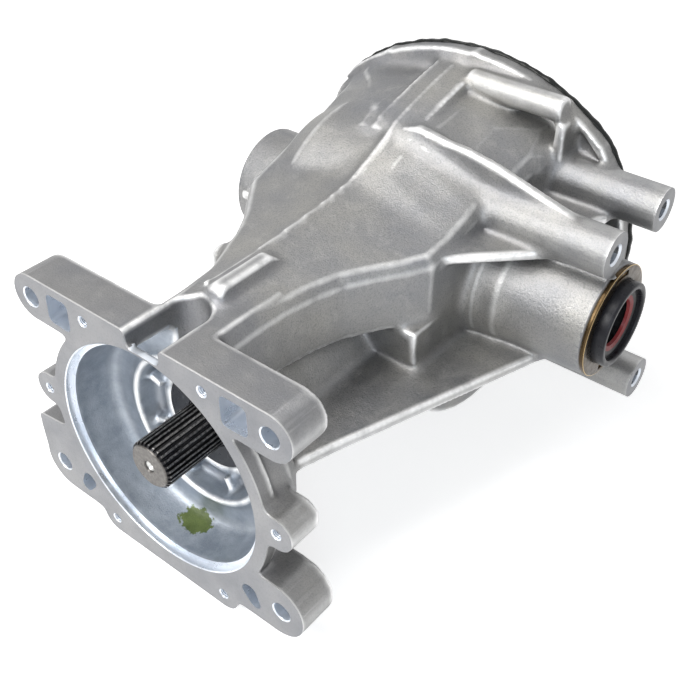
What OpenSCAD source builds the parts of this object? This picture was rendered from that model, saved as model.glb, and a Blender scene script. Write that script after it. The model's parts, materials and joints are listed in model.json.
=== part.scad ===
// Final drive for an independent rear axle: a cast carrier with a bell flange,
// a hypoid gear pair, a bevel differential, bearings, seals and a rear cover.
// X is the output axis, Y the input axis, Z is up. The origin is the centre of
// the pilot recess, in the plane of the front flange.

/* [Front flange] */
// Radius of the pilot recess
pilot_r = 88; // [80:0.5:92]
// Depth of the pilot recess
pilot_depth = 6; // [3:0.5:10]
// Radius of the bell at the flange
rim_r = 98.5; // [96:0.5:104]
// Thickness of the flange plate
flange_t = 12; // [8:1:18]
// Depth of the mounting ears
ear_depth = 32; // [24:1:38]
// Depth of the threaded lugs
lug_depth = 27; // [20:1:32]
// Wall of the bell
bell_wall = 7; // [5:0.5:10]
// Depth of the bell's inside, from the flange to its floor
bell_depth = 40; // [34:1:48]
// Half spacing of the upper mounting holes
ear_hole_x = 104; // [100:0.5:110]
// Height of the upper mounting holes
ear_hole_z = 85.4; // [80:0.2:90]
// Half spacing of the lower mounting holes
foot_hole_x = 107.4; // [102:0.2:112]
// Depth below the shaft of the lower mounting holes
foot_hole_z = 67.5; // [60:0.5:72]
// Radius of the mounting holes
ear_hole_r = 7; // [5:0.25:9]
// Radius of the six threaded holes in the rim
tap_r = 3.4; // [2.5:0.1:4.5]
// Depth of the six threaded holes
tap_depth = 20; // [12:1:24]
// Left edge of the slot in the top of the bell
slot_left = -12.5; // [-18:0.5:-8]
// Right edge of the slot in the top of the bell
slot_right = 17; // [10:0.5:22]

/* [Carrier] */
// Distance from the flange to the output axis
axle_y = 272; // [270:0.5:276]
// Height of the output axis above the input axis
axle_z = 45; // [42:0.5:46]
// Plane of the rear face, where the cover seats
rear_y = 348; // [344:1:356]
// Thickness of the rear flange
rear_t = 12; // [8:1:16]
// Sideways shift of the rear flange from the input axis
rear_x = 11; // [6:1:12]
// Half width of the rear flange
rear_half_w = 144; // [142:1:152]
// Half height of the rear flange
rear_half_h = 130; // [128:1:136]
// Width of the cover's gasket land
land_w = 20; // [16:1:24]
// Outer radius of the pinion nose
nose_r = 54; // [52:0.5:58]
// Outer radius of the hump over the ring gear
hump_r = 92; // [91:0.5:94]
// Outer radius of the front wall of the gear chamber
chamber_r = 107; // [104:0.5:110]
// Outer radius of the sump
sump_r = 117; // [112:1:120]
// Wall of the gear chamber
wall = 6; // [4.5:0.5:8]
// Right wall of the gear chamber
chamber_right = 87; // [85:1:92]
// Left wall of the gear chamber
chamber_left = -82; // [-88:1:-81]

/* [Output tubes] */
// Outer radius of the output tubes
tube_r = 43; // [42:0.5:46]
// End of the right output tube
tube_right = 180; // [170:1:190]
// End of the left output tube
tube_left = -139; // [-150:1:-134]
// Bore of the output tubes, and radius of the side bearings
tube_bore_r = 36.75; // [36:0.25:37.5]
// Radius of the seal carriers at the tube ends
seal_seat_r = 40; // [38:0.5:41]
// Depth of the seal carriers in the tubes
seal_seat_depth = 14; // [10:1:20]

/* [Side bosses] */
// Radius of the threaded side bosses
boss_r = 16.8; // [14:0.2:18]
// Radius of the threaded holes in the side bosses
boss_hole_r = 6.75; // [5:0.25:8]
// Depth of the holes in the side bosses
boss_hole_depth = 45; // [30:1:60]
// Reach of the upper side bosses
boss_reach = 180; // [165:1:190]
// Reach of the lower side boss
low_boss_reach = 190; // [175:1:195]
// Reach of the upper rear boss on the left
left_boss_reach = 105; // [100:1:130]
// Reach of the lower rear boss on the left
left_low_reach = 132; // [120:1:136]
// Depth of the hole in the upper rear boss on the left
left_hole_depth = 25; // [16:1:28]

/* [Input shaft] */
// Outer radius of the input spline
spline_r = 18; // [16:0.5:19]
// Depth of the spline grooves
spline_depth = 1.7; // [1:0.1:2]
// Number of spline teeth
spline_count = 28; // [20:1:32]
// Length of the input spline
spline_len = 52; // [40:1:54]
// How far the shaft stands out of the flange
shaft_proud = 5.3; // [2:0.1:10]
// Radius of the journal under the input seal
journal_r = 19; // [18.5:0.25:20]

/* [Hypoid gears] */
// Teeth of the pinion
pinion_teeth = 12;
// Teeth of the ring gear
ring_teeth = 41;
// Inner radius of the ring gear's teeth
ring_in_r = 61; // [60.5:0.5:62]
// Outer radius of the ring gear's teeth
ring_out_r = 81; // [79:0.5:81.5]
// Pitch cone of the ring gear at mid face: its distance from the input axis
pitch_mid = 34; // [33:0.5:35]
// Slope of the ring gear's pitch cone
pitch_slope = 0.25; // [0.2:0.01:0.28]
// Share of the pitch that a tooth fills
tooth_share = 0.40; // [0.36:0.01:0.42]

/* [Differential] */
// Teeth of each side gear
side_teeth = 16;
// Teeth of each spider gear
spider_teeth = 10;
// Outer cone distance of the bevel gears
cone_dist = 31; // [29:0.5:31.5]
// Face width of the bevel gears
bevel_face = 10; // [8:0.5:11]
// Radius of the cross pin
cross_pin_r = 7; // [6:0.25:7.5]
// Outer radius of the differential case
case_r = 41.5; // [40.5:0.5:42]
// Radius of the output shafts that the side gears take
output_r = 14; // [12:0.5:14.5]
// Running clearance of journals
run = 0.05; // [0.02:0.01:0.1]

/* [Hidden] */
$fn = 96;
eps = 0.5;

// Places along the input axis, from the flange back
seal_y = bell_depth + 10;
seal_w = 9;
nut_y = seal_y + seal_w + 2;
nut_w = 10;
washer_t = 2;
tail_y = nut_y + nut_w + washer_t;
tail_w = 19;
tail_cup_r = 36;
tail_bore_r = 20;
head_y = 160;
head_w = 24;
head_cup_r = 42.5;
head_bore_r = 22.5;
shim_t = 1.5;
sleeve_r = 25;

// Places along the output axis, from the input axis out
side_w = 18;
side_bore_r = 22;
side_right = 64;
side_left = -96;
adjuster_w = 10;
ring_back = -56;
case_flange_t = 8;
case_flange_r = 75;
ring_pilot_r = 54.5;
ring_bolt_r = 5;
ring_bolt_circle = 67;
ring_bolt_count = 10;
ring_blank_r = ring_out_r + 1;
case_bore_r = 33.6;
case_right = 34;
case_hub_r = 28;
side_back = 24;
side_hub_r = 17;
side_hub_len = 20;
spider_back = 29.5;
thrust_t = 1.2;
spider_washer_r = 12.8;
seal_out_r = 37;
fit = 0.03;

// Hypoid teeth: heights over the pitch surface and the slope of the flanks
ring_addendum = 1.8;
ring_dedendum = 4.8;
pinion_addendum = 3.8;
pinion_dedendum = 2.8;
flank = tan(21.8);
ratio = ring_teeth / pinion_teeth;
ring_mid = (ring_in_r + ring_out_r) / 2;
// The two pitch surfaces touch along a line. At the ring radius g it has the
// distance line_x from the input axis, the height line_z, the turn line_angle
// round the output axis and the place line_y, where the pinion's radius is line_r
function line_x(g) = pitch_mid + pitch_slope * (g - ring_mid);
function line_z(g) = let (q = line_x(g) * pitch_slope / g) axle_z * q / (1 + q);
function line_angle(g) = asin((axle_z - line_z(g)) / g);
function line_y(g) = axle_y - g * cos(line_angle(g));
function line_r(g) = norm([line_x(g), line_z(g)]);
// Teeth follow the sliding direction on that line, so spiral_tan is the tangent
// of the ring gear's spiral, and spiral_turn the turn of a tooth up to radius g
function spiral_tan(g) = (cos(line_angle(g)) - g / (ratio * line_x(g))) / sin(line_angle(g));
turn_steps = 16;
function spiral_turn(g) = let (d = (g - ring_in_r) / turn_steps,
  mids = [for (i = [0.5:turn_steps]) ring_in_r + i * d])
  [for (m = mids) spiral_tan(m) / m] * [for (m = mids) d] * 180 / PI;
pinion_phase = -1.3;
function pinion_turn(g) =
  pinion_phase + atan(line_z(g) / line_x(g)) + ratio * (line_angle(g) - spiral_turn(g));
function cos_spiral(g) = cos(atan(spiral_tan(g)));
function cos_helix(g) = g * cos_spiral(g) / (ratio * line_r(g));
ring_steps = 4;
pinion_steps = 7;
function ring_station(i, steps = ring_steps) = ring_in_r + (ring_out_r - ring_in_r) * i / steps;
function pinion_station(i) = ring_station(pinion_steps - i, pinion_steps);
pinion_heel_y = line_y(ring_out_r);
pinion_toe_y = line_y(ring_in_r);

// Rear flange: two shallow arcs joined by two round ends, and its ten bolts
rear_arc_r = 177;
rear_bump_r = 10;
rear_bolt_count = 10;
rear_bolt_r = 4;
rear_bolt_inset = 9;
cover_bolt_len = 9.5;
rear_bolt_depth = cover_bolt_len + 1;
sealant_t = 1.6;
cover_t = 3.2;
cover_room = 22.4;
function rear_reach(a) = let (s = abs(sin(a)), c = rear_arc_r - rear_half_h)
  min(rear_half_w, sqrt(pow(rear_arc_r, 2) - pow(c * cos(a), 2)) - c * s);
function rear_bolt_angle(i) = 18 + i * 360 / rear_bolt_count;
function rear_bolt_at(i) = let (a = rear_bolt_angle(i), r = rear_reach(a) - rear_bolt_inset)
  [rear_x + r * cos(a), axle_z + r * sin(a)];

// A prism whose outline is drawn in X and Z, from the plane y for a length
module slab(y, length) translate([0, y + length, 0]) rotate([90, 0, 0])
  linear_extrude(length) children();
// A prism whose outline is drawn in Y and Z, from the plane x for a length
module bar(x, length) translate([x, 0, 0]) rotate([90, 0, 90])
  linear_extrude(length) children();
// A solid of revolution round the input axis; its profile is drawn in radius and Y
module lathe_y() rotate([-90, 0, 0]) rotate_extrude() children();
// A solid of revolution round the output axis; its profile is drawn in radius and X
module lathe_x() translate([0, axle_y, axle_z]) rotate([0, 90, 0]) rotate_extrude() children();
module rod_y(x, y, z, r, length) translate([x, y, z]) rotate([-90, 0, 0]) cylinder(r = r, h = length);
module rod_x(x, y, z, r, length) translate([x, y, z]) rotate([0, 90, 0]) cylinder(r = r, h = length);
// A ring round the output axis
module ring_x(x, length, outer, inner) lathe_x()
  translate([inner, x]) square([outer - inner, length]);
module ring_y(y, length, outer, inner) lathe_y()
  translate([inner, y]) square([outer - inner, length]);

// A solid through matching outlines, each a list of points in the same order
module loft(outlines) {
  n = len(outlines[0]);
  m = len(outlines);
  polyhedron([for (o = outlines) for (p = o) p], concat(
    [[for (i = [n - 1:-1:0]) i]],
    [for (k = [0:m - 2]) for (i = [0:n - 1]) let (a = k * n + i, b = k * n + (i + 1) % n)
      each [[a, b, b + n], [a, b + n, a + n]]],
    [[for (i = [0:n - 1]) (m - 1) * n + i]]), convexity = 8);
}

// Outline of the front flange: the rim, four ears, two side lugs and two foot lugs
lug_r = 12.8;
ear_r = 17;
foot_r = 22.5;
foot_x = foot_hole_x - 4;
lug_x = 105.7;
lug_z = 6.2;
top_tap_x = 52;
top_tap_z = 90.2;
foot_tap_x = 54.1;
foot_tap_z = -92.3;
module ears_2d() for (s = [-1, 1]) {
  translate([s * ear_hole_x, ear_hole_z]) circle(ear_r);
  translate([s > 0 ? 0 : -ear_hole_x, ear_hole_z - ear_r]) square([ear_hole_x, 2 * ear_r]);
}
module feet_2d() {
  for (s = [-1, 1]) {
    translate([s * foot_x, -foot_hole_z]) circle(foot_r);
    translate([s > 0 ? 40 : -foot_x, -foot_hole_z - foot_r]) square([foot_x - 40, 2 * foot_r]);
  }
  polygon([[-90, -24], [-126.5, -28.8], [-127, -40], [-125.5, -60], [-90, -60]]);
}
module lugs_2d() {
  for (s = [-1, 1]) {
    translate([s * lug_x, lug_z]) circle(lug_r);
    translate([s > 0 ? 80 : -lug_x, lug_z - lug_r]) square([lug_x - 80, 2 * lug_r]);
    translate([s * foot_tap_x, foot_tap_z]) circle(lug_r);
  }
  translate([-foot_tap_x, foot_tap_z - lug_r]) square([2 * foot_tap_x, 30]);
}

// Roof of the carrier along the input axis, with its shoulders: [y, height of the
// ridge, half width on the right, height of the shoulders, half width on the left]
front_roof = [[30, 102, 34, 97, 21], [60, 107, 35, 99, 20], [86, 108, 37, 100, 22],
  [110, 109, 41, 100, 32], [130, 110.5, 47, 100, 40], [150, 112, 58, 100, 51],
  [170, 113.5, 71, 100, 66], [185, 115, 80, 101, 77], [axle_y - 67, 118, 82, 105, 80],
  [axle_y - 42, 129, 82, 113, 80], [axle_y - 14, 142, 82, 122, 79]];
shoulder_w = 5;
shoulder_h = 8;
shoulder_z = axle_z + 3;
function roof_section(s, inset) =
  let (y = s[0], low = s[3] - shoulder_h - inset / 2, foot = shoulder_z + inset,
    right = s[2] - inset / 2, right_side = s[2] + shoulder_w - inset,
    left = s[4] - inset / 2, left_side = s[4] + shoulder_w - inset)
  [[right_side, y, foot], [right_side, y, low], [right, y, s[3] - inset], [0, y, s[1] - inset],
   [-left, y, s[3] - inset], [-left_side, y, low], [-left_side, y, foot]];
module front_body() loft([for (s = front_roof) roof_section(s, 0)]);
roof_room_start = 3;
module roof_room() loft([for (i = [roof_room_start:len(front_roof) - 1]) roof_section(front_roof[i], wall)]);

// The hood between the gear chamber and the rear flange: each row holds a plane
// and the outline of the right half, from the floor up to the ridge
web_z = 15;
hood_end = rear_y - 10;
function behind(share) = axle_y + share * (hood_end - axle_y);
hood_rows = [
  [axle_y - 22, [[87, web_z], [87, 111], [82, 119], [55, 129], [28, 137], [0, 139]]],
  [axle_y - 6, [[87, web_z], [88, 111], [83, 119], [56, 134], [28, 146], [0, 146]]],
  [behind(0.42), [[92, web_z], [92, 118], [86, 129], [58, 143], [28, 150], [0, 151]]],
  [behind(0.8), [[100, web_z], [100, 112], [97, 125], [81, 140], [28, 152], [0, 154]]],
  [hood_end, [[106, web_z], [106, 112], [100, 128], [84, 143], [28, 154], [0, 156]]]];
function hood_side(s, i, inset, way) =
  let (p = s[1][i]) [way * max(0, p[0] - (i < 5 ? inset : 0)), s[0], p[1] - (i > 0 ? inset : 0)];
module hood(inset = 0) loft([for (s = hood_rows) concat(
  [for (i = [0:5]) hood_side(s, i, inset, 1)], [for (i = [4:-1:0]) hood_side(s, i, inset, -1)])]);

// The carrier casting
nose_end = 186;
nose_back = 215;
bell_out_r = pilot_r - 2.5 + bell_wall;
bell_in_r = pilot_r - 2.5;
hub_ring_out = 61;
hub_ring_in = 56;
hub_floor_y = bell_depth + 14;
hub_r = 46;
module bell_shell() lathe_y() polygon([[0, 0], [rim_r, 0], [rim_r, flange_t], [bell_out_r + 1, flange_t],
  [bell_out_r, bell_depth - 8], [bell_out_r - 8, bell_depth + 4], [70, bell_depth + 8],
  [nose_r + 12, bell_depth + 16], [nose_r + 4, bell_depth + 34], [nose_r, bell_depth + 62],
  [0, bell_depth + 62]]);
module flange_body() {
  slab(0, flange_t) { circle(rim_r); ears_2d(); feet_2d(); lugs_2d(); }
  slab(0, ear_depth) difference() { union() { ears_2d(); feet_2d(); } circle(bell_in_r - 1); }
  for (s = [-1, 1]) {
    rod_y(s * lug_x, 0, lug_z, lug_r, lug_depth);
    slab(0, lug_depth) translate([s > 0 ? bell_out_r - 4 : -lug_x, lug_z - lug_r])
      square([lug_x - bell_out_r + 4, 2 * lug_r]);
    rod_y(s * foot_tap_x, 0, foot_tap_z, lug_r, lug_depth);
  }
}
neck_left = 16;
neck_right = 34;
neck_len = 90;
module neck() slab(0, neck_len) translate([-neck_left, 60]) square([neck_left + neck_right, 42]);

// The lower half of the gear chamber, a drum that runs back to the rear flange
module drum(r, left, right, back, low, high) bar(left, right - left) intersection() {
  union() {
    translate([axle_y, axle_z]) circle(r);
    translate([axle_y, axle_z - r]) square([back - axle_y, 2 * r]);
  }
  translate([axle_y - 2 * r, low]) square([back - axle_y + 2 * r, high - low]);
}
spine_w = 18;
hump_left = -60;
hump_end_r = 78;
module hump(inset, right) lathe_x() polygon([[0, chamber_left + inset],
  [hump_end_r - inset, chamber_left + inset],
  [hump_r - inset, hump_left + inset / 4], [hump_r - inset, right], [0, right]]);
spine_back = rear_y - 6;
module rear_spine() bar(-spine_w, 2 * spine_w) polygon([[axle_y - 22, 100], [axle_y - 22, 139],
  [axle_y - 14, 144], [axle_y, 149], [behind(0.3), 155], [behind(0.58), 160], [behind(0.88), 164],
  [spine_back, 167], [spine_back, 100]]);
// The seam of the mould runs along the ridge as a step with a narrow crest
seam_w = 6;
crest_w = 2;
module seam_profile(drop) polygon([[58, 90], [58, 111.5 - drop], [80, 109.5 - drop], [128, 112 - drop],
  [170, 115 - drop], [axle_y - 67, 120 - drop], [axle_y - 42, 131 - drop], [axle_y - 14, 145.5 - drop],
  [axle_y, 150.5 - drop], [behind(0.58), 161.5 - drop], [spine_back, 168.5 - drop], [spine_back, 90]]);
module seam() {
  bar(-seam_w / 2, seam_w) seam_profile(1);
  bar(-seam_w / 2, crest_w) seam_profile(0);
}
module seam_bar() bar(4, 11) polygon([[56, 90], [56, 110], [60, 113.5], [104, 114], [112, 108], [112, 90]]);

// Web under the right side, from the bell out to the end of the tube
web_t = 9;
module web(end) translate([0, 0, web_z - web_t]) linear_extrude(web_t)
  polygon([[0, 30], [80, 40], [89, 72], [end - 28, axle_y - 10], [end - 28, axle_y + 20],
    [60, rear_y - rear_t],
    [0, rear_y - rear_t]]);

side_boss_y = 258;
side_boss_z = 106;
rear_boss_y = rear_y - 15;
rear_boss_z = 106;
low_boss_z = -44;
left_pad_reach = 79;
module side_bosses() {
  rod_x(60, side_boss_y, side_boss_z, boss_r, boss_reach - 60);
  rod_x(70, rear_boss_y, rear_boss_z, boss_r, boss_reach - 70);
  rod_x(70, rear_boss_y, low_boss_z, boss_r, low_boss_reach - 70);
  mirror([1, 0, 0]) {
    rod_x(60, side_boss_y, side_boss_z, boss_r, left_pad_reach - 60);
    rod_x(70, rear_boss_y, rear_boss_z, boss_r, left_boss_reach - 70);
    rod_x(70, rear_boss_y, low_boss_z, boss_r, left_low_reach - 70);
  }
}
module boss_hole(reach, y, z, way, depth = boss_hole_depth) translate([way * reach, y, z])
  rotate([0, way * 90, 0]) {
    translate([0, 0, -depth]) cylinder(r = boss_hole_r, h = depth + 1);
    translate([0, 0, -1.5]) cylinder(r1 = boss_hole_r, r2 = boss_hole_r + 2.5, h = 2.5);
  }
module tubes() {
  lathe_x() polygon([[0, 60], [52, 60], [49, 96], [46.5, 100], [46.5, 112], [tube_r + 1, 118],
    [tube_r, tube_right - 2], [tube_r - 1.5, tube_right], [0, tube_right]]);
  lathe_x() polygon([[0, -60], [52, -60], [49, -90], [tube_r, -100], [tube_r, tube_left + 1.5],
    [tube_r - 1.5, tube_left], [0, tube_left]]);
}
// A bar cast along the front of the left tube, with a shallow recess above it
tube_bar = [44, 12, 7];
recess_size = [34, 6, 14];
recess_t = 3;
module left_tube_bar() translate([tube_left + 8, axle_y - tube_r - 3, axle_z + 3]) cube(tube_bar);
module left_tube_recess() translate([tube_left + 19, axle_y - tube_r - recess_t, axle_z + 11])
  cube([recess_size[0], recess_size[1] + recess_t, recess_size[2]]);
// The rib from the ridge down to the side boss, and the plates round the bosses
rib_t = 8;
module cross_rib() slab(side_boss_y - rib_t / 2, rib_t) polygon([[0, 90], [0, 142], [19, 148], [45, 145],
  [62, 144], [86, 140], [123, 130], [153, 122], [153, 104], [80, 90]]);
gusset_z = 97;
plate_t = 7;
arch_x = 147;
arch_r = 19;
module side_plates() {
  translate([0, 0, gusset_z - plate_t]) linear_extrude(plate_t) difference() {
    polygon([[70, 196], [chamber_right - 3, 192], [141, side_boss_y - 8], [arch_x, side_boss_y + 8],
      [arch_x, rear_boss_y + 4], [70, rear_boss_y + 4]]);
    translate([arch_x + 15, (side_boss_y + rear_boss_y + 10) / 2]) circle(arch_r);
  }
  rod_x(16, rear_y - 20, 158, 9.5, 80);
  slab(rear_y - 28, 16) polygon([[93, 112], [93, 150], [100, 150], [102, 112]]);
}
// The rear flange, lightened between its rim and the hood
module rear_outline(inset = 0) intersection() {
  translate([rear_x, axle_z]) circle(rear_half_w - inset);
  translate([rear_x, axle_z - rear_arc_r + rear_half_h]) circle(rear_arc_r - inset);
  translate([rear_x, axle_z + rear_arc_r - rear_half_h]) circle(rear_arc_r - inset);
}
module rear_flange_2d() {
  rear_outline();
  for (i = [0:rear_bolt_count - 1]) translate(rear_bolt_at(i)) circle(rear_bump_r);
}
// A pocket with three round corners in the front of the flange, outside the hood
pocket_corners = [[105, 139], [105.5, 125], [123.5, 122]];
pocket_corner_r = 2.5;
pocket_t = 6;
module flange_pocket() slab(rear_y - rear_t, pocket_t) hull() for (p = pocket_corners)
  translate(p) circle(pocket_corner_r);
// Where the cover opens: inside the land of the rear flange
opening = [-76, 81, -62, 136];
module opening_2d(inset = 0) {
  r = 26;
  translate([opening[0] + inset, opening[2] + inset + r])
    square([opening[1] - opening[0] - 2 * inset, opening[3] - opening[2] - 2 * inset - 2 * r]);
  translate([opening[0] + inset + r, opening[2] + inset])
    square([opening[1] - opening[0] - 2 * inset - 2 * r, opening[3] - opening[2] - 2 * inset]);
  for (x = [opening[0] + inset + r, opening[1] - inset - r],
    z = [opening[2] + inset + r, opening[3] - inset - r])
    translate([x, z]) circle(r);
}
drain_x = -20;
drain_r = 9;
drain_face = axle_z - sump_r - 4;
module casting() {
  bell_shell();
  flange_body();
  neck();
  front_body();
  rod_y(0, 60, 0, nose_r, nose_back - 60);
  drum(sump_r, chamber_left, chamber_right, rear_y - 2, -2 * sump_r, web_z);
  drum(chamber_r, chamber_left, chamber_right, rear_y - 2, 0, shoulder_z);
  hump(0, spine_w);
  hood();
  rear_spine();
  seam();
  seam_bar();
  web(tube_right);
  mirror([1, 0, 0]) web(-tube_left);
  tubes();
  side_bosses();
  cross_rib();
  side_plates();
  slab(rear_y - rear_t, rear_t) rear_flange_2d();
  rod_x(-47, 116, 84, 9, 20);
  left_tube_bar();
  translate([drain_x, axle_y, drain_face]) cylinder(r = drain_r + 6, h = 14);
}
module bell_inside() {
  lathe_y() polygon([[0, -1], [pilot_r, -1], [pilot_r, pilot_depth], [bell_in_r, pilot_depth],
    [bell_in_r - 2, bell_depth - 5], [bell_in_r - 7, bell_depth], [hub_ring_out, bell_depth - 1],
    [hub_ring_out - 0.5, bell_depth - 5], [hub_ring_in, bell_depth - 5], [hub_ring_in - 1.5, hub_floor_y],
    [0, hub_floor_y]]);
}
module bell_ribs() {
  lathe_y() polygon([[0, seal_y], [hub_r - 2, seal_y], [hub_r, hub_floor_y + 1], [0, hub_floor_y + 1]]);
  for (a = [20:45:340]) rotate([0, a, 0])
    translate([hub_r - 4, bell_depth + 3, -2.5])
      cube([hub_ring_in - hub_r + 3, hub_floor_y - bell_depth - 2, 5]);
}
module slot() {
  mid = (slot_left + slot_right) / 2;
  half = (slot_right - slot_left) / 2;
  translate([slot_left, -1, 55]) cube([2 * half, bell_depth, 80]);
  translate([mid, bell_depth - 1, 55]) cylinder(r = half, h = 80);
}
module ear_pockets() for (s = [0, 1]) mirror([s, 0, 0]) {
  slab(-1, ear_depth + 2) hull() {
    translate([70.5, 92]) circle(4.5);
    translate([82.5, 92]) circle(4.5);
    translate([71, 78]) circle(4.5);
    translate([83, 78.5]) circle(4.5);
  }
  slab(-1, ear_depth + 2) hull() {
    translate([79.5, -69.5]) circle(6.5);
    translate([84, -77]) circle(5);
  }
}
module holes() {
  for (s = [-1, 1]) {
    rod_y(s * ear_hole_x, -1, ear_hole_z, ear_hole_r, ear_depth + 2);
    rod_y(s * foot_hole_x, -1, -foot_hole_z, ear_hole_r, ear_depth + 2);
    for (p = [[top_tap_x, top_tap_z], [lug_x, lug_z], [foot_tap_x, foot_tap_z]])
      rod_y(s * p[0], -1, p[1], tap_r, tap_depth + 1);
  }
  bolt_ring(rear_y - rear_bolt_depth, rear_bolt_depth + 1, rear_bolt_r);
  boss_hole(boss_reach, side_boss_y, side_boss_z, 1);
  boss_hole(boss_reach, rear_boss_y, rear_boss_z, 1);
  boss_hole(low_boss_reach, rear_boss_y, low_boss_z, 1);
  boss_hole(left_boss_reach, rear_boss_y, rear_boss_z, -1, left_hole_depth);
  boss_hole(left_low_reach, rear_boss_y, low_boss_z, -1);
  translate([drain_x, axle_y, axle_z - sump_r - 10]) cylinder(r = drain_r, h = 30);
}
// Rooms inside the casting: the ring gear's room, the chamber, the sump, the
// oil gallery over the input shaft and the space under the hood
case_room_r = 66;
pinion_room_r = 45;
module rooms() {
  hump(wall, spine_w - 7);
  rod_x(chamber_left + wall, axle_y, axle_z, case_room_r, chamber_right - chamber_left - 2 * wall);
  drum(sump_r - wall, chamber_left + wall, chamber_right - wall, rear_y - rear_t, -2 * sump_r, web_z - wall);
  drum(chamber_r - wall, chamber_left + wall, chamber_right - wall, rear_y - rear_t, 0, shoulder_z - wall);
  roof_room();
  hood(wall);
  slab(axle_y + 20, rear_y - axle_y - 19) opening_2d();
}
// Bearing seats that stand inside the rooms
seat_r = 52;
flange_right = rear_x + rear_half_w + 3;
seat_reach = 60;
module seats() {
  difference() {
    rod_y(0, 100, 0, nose_r, nose_end - 100);
    hump(wall, spine_w - 7);
  }
  lathe_x() translate([0, seat_reach]) square([seat_r, chamber_right - seat_reach]);
  rod_x(2 - left_boss_reach, rear_boss_y, rear_boss_z, boss_r, left_boss_reach - 3 + opening[0]);
}
module bores() {
  rod_y(0, seal_y - 1, 0, seal_out_r, tail_y - seal_y + 1);
  rod_y(0, tail_y - 1, 0, tail_cup_r, tail_w + 1);
  rod_y(0, tail_y, 0, 32, head_y - tail_y + 10);
  rod_y(0, head_y, 0, head_cup_r, head_w + 10);
  rod_y(0, head_y + head_w, 0, pinion_room_r, axle_y - head_y - head_w);
  lathe_x() translate([0, seat_reach - 1]) square([tube_bore_r, tube_right - seat_reach + 2]);
  lathe_x() translate([0, tube_left - 1]) square([tube_bore_r, chamber_left + wall - tube_left + 2]);
  lathe_x() translate([0, tube_right - seal_seat_depth]) square([seal_seat_r, seal_seat_depth + 1]);
  lathe_x() translate([0, tube_left - 1]) square([seal_seat_r, seal_seat_depth + 1]);
}
module carrier_housing() color([0.72, 0.73, 0.74]) difference() {
  union() {
    difference() {
      casting();
      bell_inside();
      rooms();
    }
    bell_ribs();
    seats();
  }
  slot();
  ear_pockets();
  bores();
  holes();
  left_tube_recess();
  flange_pocket();
  translate([-tube_right, rear_y, -tube_right]) cube([tube_right + flange_right, 2 * boss_r, 3 * tube_right]);
}

// Rear cover: a pressed pan with a fill boss and a breather boss, its bead of
// sealant and its bolts
cover_y = rear_y + sealant_t;
cover_back = axle_y + ring_blank_r + cover_room + cover_t;
cover_lip = 0.5;
cover_slope = 16;
fill_at = [rear_x + 46, axle_z - 22];
fill_r = 9;
breather_at = [rear_x, axle_z + 76];
breather_r = 5;
module cover_pan(low, high, inset) hull() {
  slab(low, 0.5) rear_outline(land_w + inset, $fn = 64);
  slab(high - 0.5, 0.5) rear_outline(land_w + cover_slope + inset, $fn = 64);
}
module bolt_ring(y, length, r) for (i = [0:rear_bolt_count - 1]) let (p = rear_bolt_at(i))
  rod_y(p[0], y, p[1], r, length);
module rear_cover() color([0.09, 0.09, 0.10]) difference() {
  union() {
    slab(cover_y, cover_t) rear_outline(-cover_lip);
    cover_pan(cover_y + cover_t - 0.5, cover_back, 0);
    rod_y(fill_at[0], cover_back - 9, fill_at[1], fill_r + 6, 11);
    rod_y(breather_at[0], cover_back - 6, breather_at[1], breather_r + 5, 8);
  }
  cover_pan(cover_y - 1, cover_back - cover_t, cover_t);
  bolt_ring(cover_y - 1, cover_t + 2, rear_bolt_r + 0.4);
  rod_y(fill_at[0], cover_back - 12, fill_at[1], fill_r, 20);
  rod_y(breather_at[0], cover_back - 12, breather_at[1], breather_r, 20);
}
module cover_sealant() color([0.05, 0.05, 0.05]) difference() {
  slab(rear_y, sealant_t) difference() {
    rear_outline(-cover_lip / 2);
    rear_outline(land_w - 2);
  }
  bolt_ring(rear_y - 1, sealant_t + 2, rear_bolt_r + 0.4);
}
module hex_bolt(shank_r, length, flats, head) {
  translate([0, 0, -length]) cylinder(r = shank_r, h = length + 0.5, $fn = 32);
  cylinder(r = flats * 0.72, h = 1.6, $fn = 48);
  intersection() {
    cylinder(r = flats / 2 / cos(30), h = head, $fn = 6);
    cylinder(r1 = flats / 2 / cos(30) + head * 0.8, r2 = flats / 2 + 0.2, h = head, $fn = 48);
  }
}
module cover_bolts() color([0.55, 0.56, 0.58]) for (i = [0:rear_bolt_count - 1])
  let (p = rear_bolt_at(i)) translate([p[0], cover_y + cover_t, p[1]]) rotate([-90, 0, 0])
    hex_bolt(rear_bolt_r - fit, cover_bolt_len + sealant_t + cover_t, 10, 6);

// A plug with a collar and a hexagon socket, standing on the plane z = 0
module plug(r, length, collar) difference() {
  union() {
    translate([0, 0, -length]) cylinder(r = r - fit, h = length + 0.5);
    cylinder(r = collar, h = 2.5);
    cylinder(r = collar - 2.5, h = 6);
  }
  translate([0, 0, -4]) cylinder(r = r * 0.6, h = 20, $fn = 6);
}
module fill_plug() color([0.42, 0.40, 0.36]) translate([fill_at[0], cover_back + 2, fill_at[1]])
  rotate([-90, 0, 0]) plug(fill_r, 10, fill_r + 4);
module drain_plug() color([0.42, 0.40, 0.36]) translate([drain_x, axle_y, drain_face]) rotate([180, 0, 0])
  plug(drain_r, 12, drain_r + 4);
module breather() color([0.25, 0.25, 0.26]) translate([breather_at[0], cover_back + 2, breather_at[1]])
  rotate([-90, 0, 0]) difference() {
    union() {
      translate([0, 0, -8]) cylinder(r = breather_r - fit, h = 9);
      cylinder(r = 8, h = 5, $fn = 6);
      cylinder(r = 4, h = 9);
      translate([0, 0, 9]) cylinder(r1 = 8, r2 = 7, h = 8);
    }
    translate([0, 0, -9]) cylinder(r = 1.5, h = 20);
  }

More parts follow.
